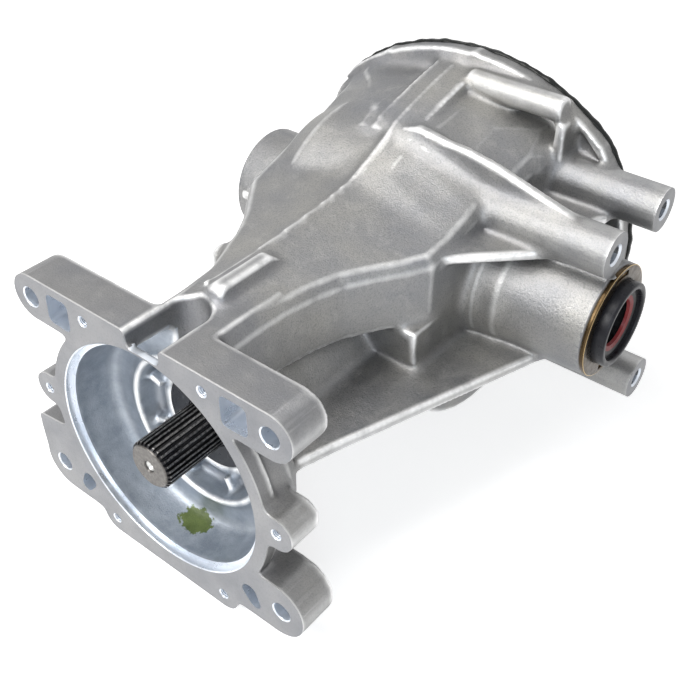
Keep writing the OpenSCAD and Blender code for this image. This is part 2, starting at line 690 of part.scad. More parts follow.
// Seals. Their profiles are drawn in radius and in depth from the outside
module input_seal() color([0.10, 0.10, 0.11]) translate([0, seal_y, 0]) rotate([-90, 0, 0]) rotate_extrude()
  polygon([[seal_out_r - fit, 0], [seal_out_r - fit, seal_w], [seal_out_r - 2, seal_w], [seal_out_r - 2, 2.5],
    [25, 2.5], [24, 6.5], [22, 8.5], [journal_r + 1.5, 8.5], [journal_r + run, 7], [journal_r + 1.5, 5],
    [journal_r + 2, 2.5], [journal_r + run, 1.2], [journal_r + 1, 0]]);
module at_right(x) translate([x, axle_y, axle_z]) rotate([0, 90, 0]) children();
module at_left(x) translate([x, axle_y, axle_z]) rotate([0, -90, 0]) children();
carrier_flange_t = 3;
slot_w = 18;
seal_r = 32;
seal_bore_r = 27;
lip_r = 17;
lip_t = 4;
proud_right = 12;
proud_left = 5;
module seal_carrier(face) difference() {
  union() {
    translate([0, 0, -seal_seat_depth]) cylinder(r = seal_seat_r - fit, h = seal_seat_depth + face);
    if (face > 0) cylinder(r = tube_r - 0.2, h = face);
  }
  translate([0, 0, 2 - seal_seat_depth]) cylinder(r = seal_r + fit, h = seal_seat_depth + face + 1);
  translate([0, 0, -seal_seat_depth - 1]) cylinder(r = seal_r - 4, h = 4);
  intersection() {
    translate([0, 0, face - 2]) difference() {
      cylinder(r = seal_seat_r, h = 3);
      translate([0, 0, -1]) cylinder(r = seal_r + 4, h = 5);
    }
    translate([-tube_r, -slot_w / 2, face - 3]) cube([2 * tube_r, slot_w, 5]);
  }
}
module output_seal(proud) rotate_extrude() polygon([[seal_r, 2 - seal_seat_depth], [seal_r, proud - 1],
  [seal_r - 1, proud], [seal_bore_r + 1, proud], [seal_bore_r, proud - 1], [seal_bore_r, proud - 8],
  [seal_bore_r - 2, proud - 8], [seal_bore_r - 2, 6 - seal_seat_depth], [lip_r, 5 - seal_seat_depth],
  [lip_r, 2 - seal_seat_depth]]);
module dust_lip(proud) translate([0, 0, proud - 8]) rotate_extrude() polygon([[seal_bore_r - fit, 0],
  [seal_bore_r - fit, lip_t], [seal_bore_r - 3, lip_t], [lip_r + 1, lip_t - 1.5],
  [lip_r, 0.5], [lip_r + 1, 0]]);
module seal_carrier_right() color([0.45, 0.36, 0.24]) at_right(tube_right)
  seal_carrier(carrier_flange_t);
module seal_carrier_left() color([0.45, 0.36, 0.24]) at_left(tube_left) seal_carrier(0);
module output_seal_right() color([0.07, 0.07, 0.08]) at_right(tube_right) output_seal(proud_right);
module output_seal_left() color([0.07, 0.07, 0.08]) at_left(tube_left) output_seal(proud_left);
module dust_lip_right() color([0.45, 0.08, 0.06]) at_right(tube_right) dust_lip(proud_right);
module dust_lip_left() color([0.45, 0.08, 0.06]) at_left(tube_left) dust_lip(proud_left);

// Threaded rings that set the side bearings
module adjuster() difference() {
  cylinder(r = tube_bore_r - fit, h = adjuster_w);
  translate([0, 0, -1]) cylinder(r = side_bore_r + 5, h = adjuster_w + 2);
  for (a = [0:45:315]) rotate([0, 0, a]) translate([(tube_bore_r + side_bore_r + 5) / 2, 0, adjuster_w - 5])
    cylinder(r = 2.6, h = 6, $fn = 32);
}
module side_adjuster_right() color([0.50, 0.50, 0.51]) at_right(side_right + side_w) adjuster();
module side_adjuster_left() color([0.50, 0.50, 0.51]) at_left(side_left) adjuster();

// Tapered roller bearings, drawn round z with the small ends of the rollers at
// z = 0. The cone keeps its rollers and cage; big is the cup's outer radius,
// small the cone's bore
tilt = 12;
roller_taper = 1.6;
function roller_mid(big, small) = (big + small) / 2 + 0.2;
function roller_r(big, small) = (big - small) * 0.215;
function roller_len(w) = w * 0.62;
function roller_count(big, small) = floor(2 * PI * roller_mid(big, small) / (2 * roller_r(big, small) + 3));
function race(big, small, w, u, side, gap) = let (a = tilt + side * roller_taper)
  roller_mid(big, small) + (u - w / 2) * tan(a)
    + side * (roller_r(big, small) * cos(roller_taper) + gap) / cos(a);
cone_step = 2;
module bearing_cup(big, small, w) {
  cup_w = w * 0.8;
  rotate_extrude() polygon([[big - fit - 1, 0], [big - fit, 1], [big - fit, cup_w - 1],
    [big - fit - 1, cup_w],
    [race(big, small, w, cup_w, 1, 0.06), cup_w], [race(big, small, w, 0, 1, 0.06), 0]]);
}
module bearing_cone(big, small, w) {
  length = roller_len(w);
  mid = roller_mid(big, small);
  r = roller_r(big, small);
  first = w / 2 - length / 2 * cos(tilt) - 0.5;
  last = w / 2 + length / 2 * cos(tilt) - 0.4;
  inner = race(big, small, w, first, -1, -0.03);
  outer = race(big, small, w, last, -1, -0.03);
  rotate_extrude() polygon([[small + fit, cone_step], [small + fit, w], [outer + 0.6 * r - 0.8, w],
    [outer + 0.6 * r, w - 0.8], [outer + 0.6 * r, last], [outer, last], [inner, first], [inner + 0.8, first],
    [inner + 0.8, cone_step]]);
  for (i = [1:roller_count(big, small)]) rotate([0, 0, i * 360 / roller_count(big, small)])
    translate([mid, 0, w / 2]) rotate([0, tilt, 0]) cylinder(r1 = r - length / 2 * tan(roller_taper),
      r2 = r + length / 2 * tan(roller_taper), h = length, center = true, $fn = 24);
  rotate_extrude() polygon([for (p = [[0.4, -1], [1.7, -1], [1.7, 1], [0.4, 1]])
    [mid + p[0] + p[1] * (length / 2 + 1.4) * sin(tilt), w / 2 + p[1] * (length / 2 + 1.4) * cos(tilt)]]);
}
module from_head() translate([0, head_y, 0]) rotate([-90, 0, 0]) children();
module from_tail() translate([0, tail_y + tail_w, 0]) rotate([90, 0, 0]) children();
module pinion_head_cup() color([0.60, 0.60, 0.62]) from_head() bearing_cup(head_cup_r, head_bore_r, head_w);
module pinion_head_cone() color([0.66, 0.66, 0.68]) from_head() bearing_cone(head_cup_r, head_bore_r, head_w);
module pinion_tail_cup() color([0.60, 0.60, 0.62]) from_tail() bearing_cup(tail_cup_r, tail_bore_r, tail_w);
module pinion_tail_cone() color([0.66, 0.66, 0.68]) from_tail() bearing_cone(tail_cup_r, tail_bore_r, tail_w);
module side_cup_right() color([0.60, 0.60, 0.62]) at_left(side_right + side_w)
  bearing_cup(tube_bore_r, side_bore_r, side_w);
module side_cone_right() color([0.66, 0.66, 0.68]) at_left(side_right + side_w)
  bearing_cone(tube_bore_r, side_bore_r, side_w);
module side_cup_left() color([0.60, 0.60, 0.62]) at_right(side_left)
  bearing_cup(tube_bore_r, side_bore_r, side_w);
module side_cone_left() color([0.66, 0.66, 0.68]) at_right(side_left)
  bearing_cone(tube_bore_r, side_bore_r, side_w);

// Outline of a spline
module spline_2d(outer, depth, count) polygon([for (i = [0:count - 1])
  each [for (p = [[-0.30, 0], [-0.17, 1], [0.17, 1], [0.30, 0]]) let (a = (i + p[0]) * 360 / count)
    (outer - depth + depth * p[1]) * [cos(a), sin(a)]]]);

// Input shaft in one piece with the hypoid pinion
function pinion_point(g, level, side, k) = let (r = line_r(g) + level,
  half = tooth_share * PI * line_r(g) / pinion_teeth - level * flank / cos_helix(g),
  a = 180 + pinion_turn(g) + (k + 0.5) * 360 / pinion_teeth + side * half / r * 180 / PI)
  [r * cos(a), line_y(g), -r * sin(a)];
sunk = 0.5;
module pinion_tooth(k) loft([for (i = [0:pinion_steps]) let (g = pinion_station(i))
  [for (p = [[-1, 1], [1, 1], [1, -1], [-1, -1]])
    pinion_point(g, p[0] < 0 ? -pinion_dedendum - sunk : pinion_addendum, p[1], k)]]);
shoulder_y = head_y + head_w + shim_t;
shim_r = 30;
module input_shaft() color([0.10, 0.10, 0.11]) {
  difference() {
    intersection() {
      slab(-shaft_proud, spline_len) spline_2d(spline_r, spline_depth, spline_count);
      lathe_y() polygon([[0, -shaft_proud], [spline_r - 2.5, -shaft_proud], [spline_r + 0.5, 3 - shaft_proud],
        [spline_r + 0.5, spline_len], [0, spline_len]]);
    }
    translate([0, -shaft_proud - 0.01, 0]) rotate([-90, 0, 0]) cylinder(r1 = 5, r2 = 2, h = 3);
    rod_y(0, -shaft_proud - 1, 0, 2, 12);
  }
  lathe_y() polygon(concat([[0, spline_len - shaft_proud - 0.5],
    [spline_r - spline_depth, spline_len - shaft_proud - 0.5],
    [journal_r, spline_len - shaft_proud + 3], [journal_r, nut_y - 0.5], [journal_r + 0.5, nut_y],
    [journal_r + 0.5, nut_y + nut_w + 0.5], [tail_bore_r, nut_y + nut_w + 1],
    [tail_bore_r, head_y + cone_step],
    [head_bore_r, head_y + cone_step], [head_bore_r, shoulder_y], [shim_r, shoulder_y],
    [shim_r, pinion_heel_y - 8],
    [line_r(ring_out_r) - pinion_dedendum + 1, pinion_heel_y - 2]],
    [for (i = [0:pinion_steps]) let (g = pinion_station(i)) [line_r(g) - pinion_dedendum, line_y(g)]],
    [[0, pinion_toe_y]]));
  for (k = [0:pinion_teeth - 1]) pinion_tooth(k);
}
nut_r = 31;
module pinion_nut() color([0.52, 0.52, 0.54]) translate([0, nut_y, 0]) rotate([-90, 0, 0]) difference() {
  intersection() {
    cylinder(r = nut_r, h = nut_w, $fn = 6);
    cylinder(r1 = nut_r - 3, r2 = nut_r + 5, h = nut_w);
  }
  translate([0, 0, -1]) cylinder(r = journal_r + 0.5 + fit, h = nut_w + 2);
}
module pinion_washer() color([0.55, 0.55, 0.56]) 
  ring_y(nut_y + nut_w, washer_t, nut_r - 2, tail_bore_r + fit);
module preload_sleeve() color([0.40, 0.41, 0.43]) {
  front = tail_y + tail_w - cone_step;
  back = head_y + cone_step;
  lathe_y() polygon([[tail_bore_r + 0.3, front], [sleeve_r, front], [sleeve_r, (front + back) / 2 - 14],
    [sleeve_r + 3, (front + back) / 2], [sleeve_r, (front + back) / 2 + 14], [sleeve_r, back],
    [tail_bore_r + 0.3, back]]);
}
module pinion_shim() color([0.62, 0.60, 0.52]) 
  ring_y(head_y + head_w, shim_t, shim_r, head_bore_r + fit);

// Ring gear with its hypoid teeth
function ring_root(g) = -line_x(g) - ring_dedendum;
function ring_point(g, level, side, k) = let (
  half = tooth_share * PI * g / ring_teeth - level * flank / cos_spiral(g),
  a = spiral_turn(g) + k * 360 / ring_teeth + side * half / g * 180 / PI)
  [level - line_x(g), axle_y - g * cos(a), axle_z - g * sin(a)];
module ring_tooth(k) loft([for (i = [0:ring_steps]) let (g = ring_station(i))
  [for (p = [[1, -1], [1, 1], [-1, 1], [-1, -1]])
    ring_point(g, p[0] < 0 ? -ring_dedendum - sunk : ring_addendum, p[1], k)]]);
module bolt_circle(x, r, length) for (i = [0:ring_bolt_count - 1]) let (a = (i + 0.5) * 360 / ring_bolt_count)
  rod_x(x, axle_y + ring_bolt_circle * cos(a), axle_z + ring_bolt_circle * sin(a), r, length);
ring_thread = 13;
module ring_gear() color([0.38, 0.38, 0.40]) {
  difference() {
    lathe_x() polygon([[ring_pilot_r, ring_back], [ring_blank_r, ring_back],
      [ring_blank_r, ring_root(ring_out_r) - 0.4], [ring_out_r + 0.3, ring_root(ring_out_r + 0.3)],
      [ring_in_r - 0.3, ring_root(ring_in_r - 0.3)], [ring_pilot_r, ring_root(ring_in_r - 0.3)]]);
    bolt_circle(ring_back - 1, ring_bolt_r, ring_thread + 1);
  }
  for (k = [0:ring_teeth - 1]) ring_tooth(k);
}
module ring_gear_bolts() color([0.30, 0.30, 0.32]) for (i = [0:ring_bolt_count - 1])
  let (a = (i + 0.5) * 360 / ring_bolt_count)
  translate([ring_back - case_flange_t, axle_y + ring_bolt_circle * cos(a),
    axle_z + ring_bolt_circle * sin(a)])
    rotate([0, -90, 0]) hex_bolt(ring_bolt_r - fit, case_flange_t + ring_thread - 1, 14, 6.5);

// Differential case, with a window on each side through which its gears go in
case_end = thrust_t + side_back + run;
pin_half = 40;
lock_r = 2.5;
lock_z = 37.4;
spider_seat = spider_back + thrust_t + run;
module differential_case() color([0.46, 0.45, 0.44]) difference() {
  union() {
    difference() {
      lathe_x() polygon([[0, side_left - 2], [side_bore_r, side_left - 2], [side_bore_r, side_left + side_w],
        [case_hub_r, side_left + side_w], [case_hub_r, side_left + side_w + 4],
        [44, ring_back - case_flange_t],
        [case_flange_r, ring_back - case_flange_t], [case_flange_r, ring_back],
        [ring_pilot_r - fit, ring_back],
        [ring_pilot_r - fit, ring_back + 6], [case_r, ring_back + 14], [case_r, case_right - 2],
        [case_r - 2, case_right],
        [case_hub_r + 4, case_right], [case_hub_r, case_right + 5], [case_hub_r, side_right],
        [side_bore_r, side_right], [side_bore_r, side_right + side_w + 2], [0, side_right + side_w + 2]]);
      rod_x(-case_end, axle_y, axle_z, case_bore_r, 2 * case_end);
    }
    for (s = [0, 180]) translate([0, axle_y, axle_z]) rotate([s, 0, 0]) translate([0, 0, spider_seat])
      cylinder(r = 15, h = case_bore_r + 2 - spider_seat);
  }
  rod_x(side_left - 3, axle_y, axle_z, output_r + 2, side_right - side_left + side_w + 6);
  rod_x(-side_back - side_hub_len - 1, axle_y, axle_z, side_hub_r + run, 2 * (side_back + side_hub_len + 1));
  translate([0, axle_y, axle_z - 60]) cylinder(r = cross_pin_r + fit, h = 120);
  slab(axle_y - 60, 120) translate([0, axle_z]) {
    square([34, 38], center = true);
    square([44, 28], center = true);
    for (x = [-17, 17], z = [-14, 14]) translate([x, z]) circle(5);
  }
  bolt_circle(ring_back - case_flange_t - 1, ring_bolt_r + 0.3, case_flange_t + 2);
  rod_x(-10, axle_y, axle_z + lock_z, lock_r, case_right + 11);
}
module cross_pin() color([0.64, 0.64, 0.66]) difference() {
  translate([0, axle_y, axle_z - pin_half]) cylinder(r = cross_pin_r, h = 2 * pin_half);
  rod_x(-10, axle_y, axle_z + lock_z, lock_r, 20);
}
module cross_pin_lock() color([0.35, 0.35, 0.36]) translate([case_right, axle_y, axle_z + lock_z])
  rotate([0, 90, 0]) difference() {
    union() {
      translate([0, 0, -case_right - 9]) cylinder(r = lock_r - fit, h = case_right + 9.5, $fn = 32);
      cylinder(r = 3.9, h = 3, $fn = 48);
    }
    translate([0, 0, 1]) cylinder(r = 2, h = 4, $fn = 6);
  }

// Bevel gears of the differential, drawn round z with the apex at the origin
pitch_angle = atan(side_teeth / spider_teeth);
bevel_module = 2 * cone_dist * sin(pitch_angle) / side_teeth;
pressure = 22.5;
bevel_share = 0.46;
bevel_levels = [-1.2, -0.6, 0, 0.4, 0.8];
function involute(a) = tan(a) - a * PI / 180;
function tooth_half(rho, base, pitch, teeth) = let (a = rho > base ? acos(base / rho) : 0)
  rho * (bevel_share * PI / teeth + involute(acos(base / pitch)) - involute(a));
function bevel_point(dist, level, angle, teeth, side, turn) = let (
  m = bevel_module * dist / cone_dist, h = level * m, r = dist * sin(angle) + h * cos(angle),
  pitch = dist * tan(angle), half = tooth_half(pitch + h, pitch * cos(pressure), pitch, teeth / cos(angle)),
  a = turn + side * half / r * 180 / PI)
  [r * cos(a), r * sin(a), dist * cos(angle) - h * sin(angle)];
module bevel_tooth(angle, teeth, turn) loft([for (d = [cone_dist - bevel_face, cone_dist]) concat(
  [for (l = bevel_levels) bevel_point(d, l, angle, teeth, 1, turn)],
  [for (i = [len(bevel_levels) - 1:-1:0]) bevel_point(d, bevel_levels[i], angle, teeth, -1, turn)])]);
function root_point(dist, angle) = let (h = -(1.2 - 0.08) * bevel_module * dist / cone_dist)
  [dist * sin(angle) + h * cos(angle), dist * cos(angle) - h * sin(angle)];
module bevel_gear(angle, teeth, back, bore, start) {
  heel = root_point(cone_dist, angle);
  toe = root_point(cone_dist - bevel_face, angle);
  rotate_extrude() polygon([[bore, toe[1]], toe, heel, [heel[0], back - 1], [heel[0] - 1, back],
    [bore, back]]);
  for (i = [0:teeth - 1]) bevel_tooth(angle, teeth, start + i * 360 / teeth);
}
module side_gear(start) difference() {
  union() {
    bevel_gear(pitch_angle, side_teeth, side_back, 5, start);
    translate([0, 0, side_back - 1]) cylinder(r = side_hub_r, h = side_hub_len + 1);
  }
  translate([0, 0, -1]) linear_extrude(60) spline_2d(output_r + 1, 1.4, 22);
}
module side_gear_right() color([0.50, 0.50, 0.52]) at_right(0) side_gear(0);
module side_gear_left() color([0.50, 0.50, 0.52]) at_left(0) side_gear(0);
module spider_gear() difference() {
  bevel_gear(90 - pitch_angle, spider_teeth, spider_back, cross_pin_r + run, 180 / spider_teeth);
  translate([0, 0, -1]) cylinder(r = cross_pin_r + run, h = 60);
}
module spider_gear_upper() color([0.54, 0.54, 0.56]) translate([0, axle_y, axle_z]) spider_gear();
module spider_gear_lower() color([0.54, 0.54, 0.56]) translate([0, axle_y, axle_z])
  rotate([180, 0, 0]) spider_gear();
module side_washer() translate([0, 0, side_back + run]) difference() {
  cylinder(r = side_hub_r + 9, h = thrust_t);
  translate([0, 0, -1]) cylinder(r = side_hub_r + 0.3, h = thrust_t + 2);
}
module side_washer_right() color([0.60, 0.52, 0.34]) at_right(0) side_washer();
module side_washer_left() color([0.60, 0.52, 0.34]) at_left(0) side_washer();
module spider_washers() color([0.60, 0.52, 0.34]) for (s = [0, 180]) translate([0, axle_y, axle_z])
  rotate([s, 0, 0]) translate([0, 0, spider_back + run]) difference() {
    cylinder(r = spider_washer_r, h = thrust_t);
    translate([0, 0, -1]) cylinder(r = cross_pin_r + fit, h = thrust_t + 2);
  }

carrier_housing();
rear_cover();
cover_sealant();
cover_bolts();
fill_plug();
drain_plug();
breather();
input_seal();
pinion_tail_cup();
pinion_head_cup();
side_cup_left();
side_cup_right();
side_adjuster_left();
side_adjuster_right();
seal_carrier_left();
seal_carrier_right();
output_seal_left();
output_seal_right();
dust_lip_left();
dust_lip_right();
input_shaft();
pinion_nut();
pinion_washer();
pinion_tail_cone();
pinion_head_cone();
preload_sleeve();
pinion_shim();
differential_case();
ring_gear();
ring_gear_bolts();
side_cone_left();
side_cone_right();
cross_pin();
cross_pin_lock();
side_washer_left();
side_washer_right();
spider_washers();
side_gear_left();
side_gear_right();
spider_gear_upper();
spider_gear_lower();
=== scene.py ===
"""Looks of the axle assembly: cast fillets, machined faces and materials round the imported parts."""

import json
import math

import bmesh
import bpy
import numpy as np
from mathutils import Matrix, Vector
from mathutils.kdtree import KDTree


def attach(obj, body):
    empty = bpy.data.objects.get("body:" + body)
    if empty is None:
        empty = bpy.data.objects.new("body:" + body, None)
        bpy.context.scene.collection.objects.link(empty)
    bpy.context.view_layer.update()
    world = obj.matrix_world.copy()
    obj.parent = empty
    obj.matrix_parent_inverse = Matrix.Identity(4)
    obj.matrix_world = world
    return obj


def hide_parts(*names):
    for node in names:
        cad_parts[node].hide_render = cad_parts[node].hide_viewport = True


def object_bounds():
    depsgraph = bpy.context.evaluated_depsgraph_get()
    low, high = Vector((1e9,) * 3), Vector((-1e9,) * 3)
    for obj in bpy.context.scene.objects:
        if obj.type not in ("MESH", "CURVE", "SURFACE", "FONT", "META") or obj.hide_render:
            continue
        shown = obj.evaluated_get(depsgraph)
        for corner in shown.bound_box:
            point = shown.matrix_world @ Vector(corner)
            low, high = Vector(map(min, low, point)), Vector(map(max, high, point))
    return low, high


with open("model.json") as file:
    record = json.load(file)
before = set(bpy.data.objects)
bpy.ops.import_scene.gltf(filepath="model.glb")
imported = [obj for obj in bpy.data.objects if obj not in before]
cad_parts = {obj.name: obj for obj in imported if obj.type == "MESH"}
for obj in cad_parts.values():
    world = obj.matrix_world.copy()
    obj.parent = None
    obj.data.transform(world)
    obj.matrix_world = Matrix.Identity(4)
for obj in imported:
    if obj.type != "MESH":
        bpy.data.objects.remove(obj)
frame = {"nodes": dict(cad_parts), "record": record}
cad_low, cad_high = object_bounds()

MM = 0.001

# Sizes in millimetres, as in the CAD model
AXLE_Y, AXLE_Z = 272.0, 45.0
REAR_Y, REAR_X, REAR_RIGHT = 348.0, 11.0, 158.0
TUBE_R, TUBE_BORE = 43.0, 36.75
SEAL_SEAT_R, SEAL_SEAT_DEPTH = 40.0, 14.0
TUBE_RIGHT, TUBE_LEFT = 180.0, -139.0
BORE_RIGHT, BORE_LEFT = 59.0, -75.0
# Way along X, end and start of the bore of each output tube
TUBES = [(1, TUBE_RIGHT, BORE_RIGHT), (-1, TUBE_LEFT, BORE_LEFT)]
PILOT_R, PILOT_DEPTH, BELL_IN_R = 88.0, 6.0, 85.5
EAR_DEPTH, EAR_HOLE_R = 32.0, 7.0
TAP_R, TAP_DEPTH, TAP_PITCH, THREAD_HEIGHT = 3.4, 20.0, 1.25, 0.5
# Places (x, z) of the plain and the tapped holes of one side; the other side mirrors them
EAR_HOLES = [(104.0, 85.4), (107.4, -67.5)]
TAPS = [(52.0, 90.2), (105.7, 6.2), (54.1, -92.3)]
# End along X, place (y, z) and hole depth of each boss; the sign of the end tells its side
BOSSES = [(180.0, 258.0, 106.0, 45.0), (180.0, 333.0, 106.0, 45.0), (190.0, 333.0, -44.0, 45.0),
          (-105.0, 333.0, 106.0, 25.0), (-132.0, 333.0, -44.0, 45.0)]
BOSS_R, BOSS_HOLE_R = 16.8, 6.75
# Corners (x, z, radius) of the pockets of one side, and the lowest and highest (x, z) round each
EAR_POCKET = [(71, 78, 4.5), (83, 78.5, 4.5), (82.5, 92, 4.5), (70.5, 92, 4.5)]
FOOT_POCKET = [(84, -77, 5), (79.5, -69.5, 6.5)]
EAR_POCKET_BOX = (65.5, 73.0), (88.0, 97.0)
FOOT_POCKET_BOX = (72.5, -82.5), (89.5, -62.5)
# The input's bores as (radius, place along Y): seal, tail cup, middle, head cup and the pinion's room
NOSE_BORE = [(0, 49), (37, 49), (37, 71), (36, 71), (36, 90), (32, 90), (32, 160), (42.5, 160),
             (42.5, 184), (45, 184), (45, 230), (0, 230)]

# How the casting is made: stock on the machined planes, wider plugs in the holes, cuts from outside
STOCK, PLUG, PAST = 4.0, 1.5, 8.0
FRONT_CUT = (-400.0, -30.0, -300.0), (400.0, 0.0, 400.0)
REAR_CUT = (-400.0, REAR_Y, -300.0), (REAR_RIGHT, REAR_Y + 40.0, 400.0)
TUBE_STEPS, PLUG_RING_STEPS, NOSE_STEPS, PILOT_STEPS = 128, 192, 160, 256
TUBE_CHAMFER, PILOT_CHAMFER, BOSS_CHAMFER = 2.1, 0.7, 1.4
# How far a boss's plug stays inside its radius and goes past its hole, and the same outwards for its facing
BOSS_PLUG_IN, BOSS_PLUG_PAST, BOSS_FACE_OUT, BOSS_FACE_PAST = 4.0, 3.0, 1.2, 12.0
# How the cast edges are rounded: size of the voxels in metres, rounds, share of the way that a point
# takes in each, how far it may wander in millimetres, and the share of faces that stay
VOXEL = 0.0015
RELAX_ROUNDS, MARK_ROUNDS = 26, 5
CONVEX_RATE, CONCAVE_RATE = 0.16, 0.88
CONVEX_CAP, CONCAVE_CAP = 0.8, 2.5
FACES_KEPT = 0.4

# Limits for telling faces and points apart: metres, and parts of a normal
WELD, ON_PLANE, ON_EDGE = 2e-6, 3e-5, 1e-5
SQUARE, FACING, UPRIGHT = 0.99, 0.9, 0.1
# The same for places in millimetres: how near to a plane a face lies, and how far inside a mouth
FLAT, INSIDE = 0.05, 0.01

# Curvature marks from which an edge starts to get its painted highlight and has it fully; negative, the same
# for the painted shade in inner corners
EDGE_LOW, EDGE_HIGH = 0.02, 0.13
# The bell room as steps of (radius, depth) and the place of a daub of paint on its floor, in metres, and
# the scale that makes the way from that place about 1 long at the daub's edge
BELL_STEPS = [(0.0868, 0.036), (0.0815, 0.042), (0.062, 0.056)]
DAUB, DAUB_SCALE = (-0.001, 0.030, -0.0843), (72, 92, 125)


# Solids in mesh code, used to fill and to cut the casting
def solid(points, faces):
    bm = bmesh.new()
    verts = [bm.verts.new(Vector(p) * MM) for p in points]
    for f in faces:
        bm.faces.new([verts[i] for i in f])
    bmesh.ops.recalc_face_normals(bm, faces=bm.faces)
    return bm


def turned(profile, place, steps=64):
    """A solid of revolution from (radius, place along the axis), with a radius of 0 only at the ends."""
    rings, points = [], []
    for r, s in profile:
        if r == 0:
            rings.append([len(points)])
            points.append(place(0, 0, s))
            continue
        rings.append(list(range(len(points), len(points) + steps)))
        for i in range(steps):
            a = 2 * math.pi * i / steps
            points.append(place(r * math.cos(a), r * math.sin(a), s))
    faces, n = [], len(profile)
    for k in range(n):
        a, b = rings[k], rings[(k + 1) % n]
        if len(a) == 1 and len(b) == 1:
            continue
        for i in range(steps):
            j = (i + 1) % steps
            if len(a) == 1:
                faces.append((a[0], b[i], b[j]))
            elif len(b) == 1:
                faces.append((a[i], b[0], a[j]))
            else:
                faces.append((a[i], b[i], b[j], a[j]))
    return solid(points, faces)


def along_x(y, z):
    """Places points given as (across, across, along) round an axis along X."""
    return lambda u, v, s: (s, y + u, z + v)


def along_y(x, z):
    """The same round an axis along Y."""
    return lambda u, v, s: (x + u, s, z + v)


def rod(place, r, start, end, steps=64):
    return turned([(0, start), (r, start), (r, end), (0, end)], place, steps)


def block(low, high):
    (x0, y0, z0), (x1, y1, z1) = low, high
    p = [(x, y, z) for x in (x0, x1) for y in (y0, y1) for z in (z0, z1)]
    return solid(p, [(0, 1, 3, 2), (4, 6, 7, 5), (0, 4, 5, 1), (2, 3, 7, 6), (0, 2, 6, 4), (1, 5, 7, 3)])


def prism_y(outline, start, end):
    n = len(outline)
    points = [(x, start, z) for x, z in outline] + [(x, end, z) for x, z in outline]
    faces = [tuple(range(n)), tuple(range(2 * n - 1, n - 1, -1))]
    faces += [(i, (i + 1) % n, n + (i + 1) % n, n + i) for i in range(n)]
    return solid(points, faces)


def rounded(circles, steps=12):
    """Outline round circles given as (x, z, r), listed anticlockwise, each with its arc."""
    out, n = [], len(circles)
    for i, (x, z, r) in enumerate(circles):
        before, after = circles[i - 1], circles[(i + 1) % n]
        a0 = math.atan2(z - before[1], x - before[0]) - math.pi / 2
        a1 = math.atan2(after[1] - z, after[0] - x) - math.pi / 2
        while a1 < a0:
            a1 += 2 * math.pi
        for k in range(steps + 1):
            a = a0 + (a1 - a0) * k / steps
            out.append((x + r * math.cos(a), z + r * math.sin(a)))
    return out


def drill(place, r, mouth, end, chamfer=0.8, steps=48):
    """A hole from past its mouth to its end, with a chamfered mouth and a drill point."""
    way = 1 if end > mouth else -1
    outside = mouth - PAST * way
    return turned([(0, outside), (r + chamfer, outside), (r + chamfer, mouth),
                   (r, mouth + way * chamfer), (r, end), (0, end + way * r * 0.5)], place, steps)


def pockets(grow, start, end):
    """The pockets of both sides, wider all round by a size."""
    out = []
    for circles in (EAR_POCKET, FOOT_POCKET):
        right = rounded([(x, z, r + grow) for x, z, r in circles])
        out.append(prism_y(right, start, end))
        out.append(prism_y([(-x, z) for x, z in reversed(right)], start, end))
    return out


# Objects
def shown(name, data):
    obj = bpy.data.objects.new(name, data)
    bpy.context.scene.collection.objects.link(obj)
    return obj


def joined(name, parts):
    """One object of separate closed solids that don't touch each other."""
    whole = bmesh.new()
    for bm in parts:
        mesh = bpy.data.meshes.new("part")
        bm.to_mesh(mesh)
        bm.free()
        whole.from_mesh(mesh)
        bpy.data.meshes.remove(mesh)
    bmesh.ops.triangulate(whole, faces=whole.faces)
    mesh = bpy.data.meshes.new(name)
    whole.to_mesh(mesh)
    whole.free()
    return shown(name, mesh)


def apply_modifiers(obj):
    dg = bpy.context.evaluated_depsgraph_get()
    dg.update()
    mesh = bpy.data.meshes.new_from_object(obj.evaluated_get(dg), depsgraph=dg)
    old = obj.data
    obj.modifiers.clear()
    obj.data = mesh
    bpy.data.meshes.remove(old)


def boolean(obj, tool, operation):
    m = obj.modifiers.new("cut", "BOOLEAN")
    m.operation, m.solver, m.object = operation, "MANIFOLD", tool
    apply_modifiers(obj)
    bpy.data.objects.remove(tool)


# The casting: filled, rounded and machined again
def stock(bm, axis, at, way, near=None):
    """Extends the plane faces at a place along an axis outwards, as stock that the cuts take off again."""
    faces = [
        f for f in bm.faces
        if f.normal[axis] * way > SQUARE
        and all(abs(v.co[axis] - at * MM) < ON_PLANE for v in f.verts)
        and (near is None or near(f.calc_center_median() / MM))
    ]
    made = bmesh.ops.extrude_face_region(bm, geom=faces)
    move = Vector((0, 0, 0))
    move[axis] = way * STOCK * MM
    verts = [g for g in made["geom"] if isinstance(g, bmesh.types.BMVert)]
    bmesh.ops.translate(bm, verts=verts, vec=move)
    left = [f for f in faces if f.is_valid]
    if left:
        bmesh.ops.delete(bm, geom=left, context="FACES_ONLY")


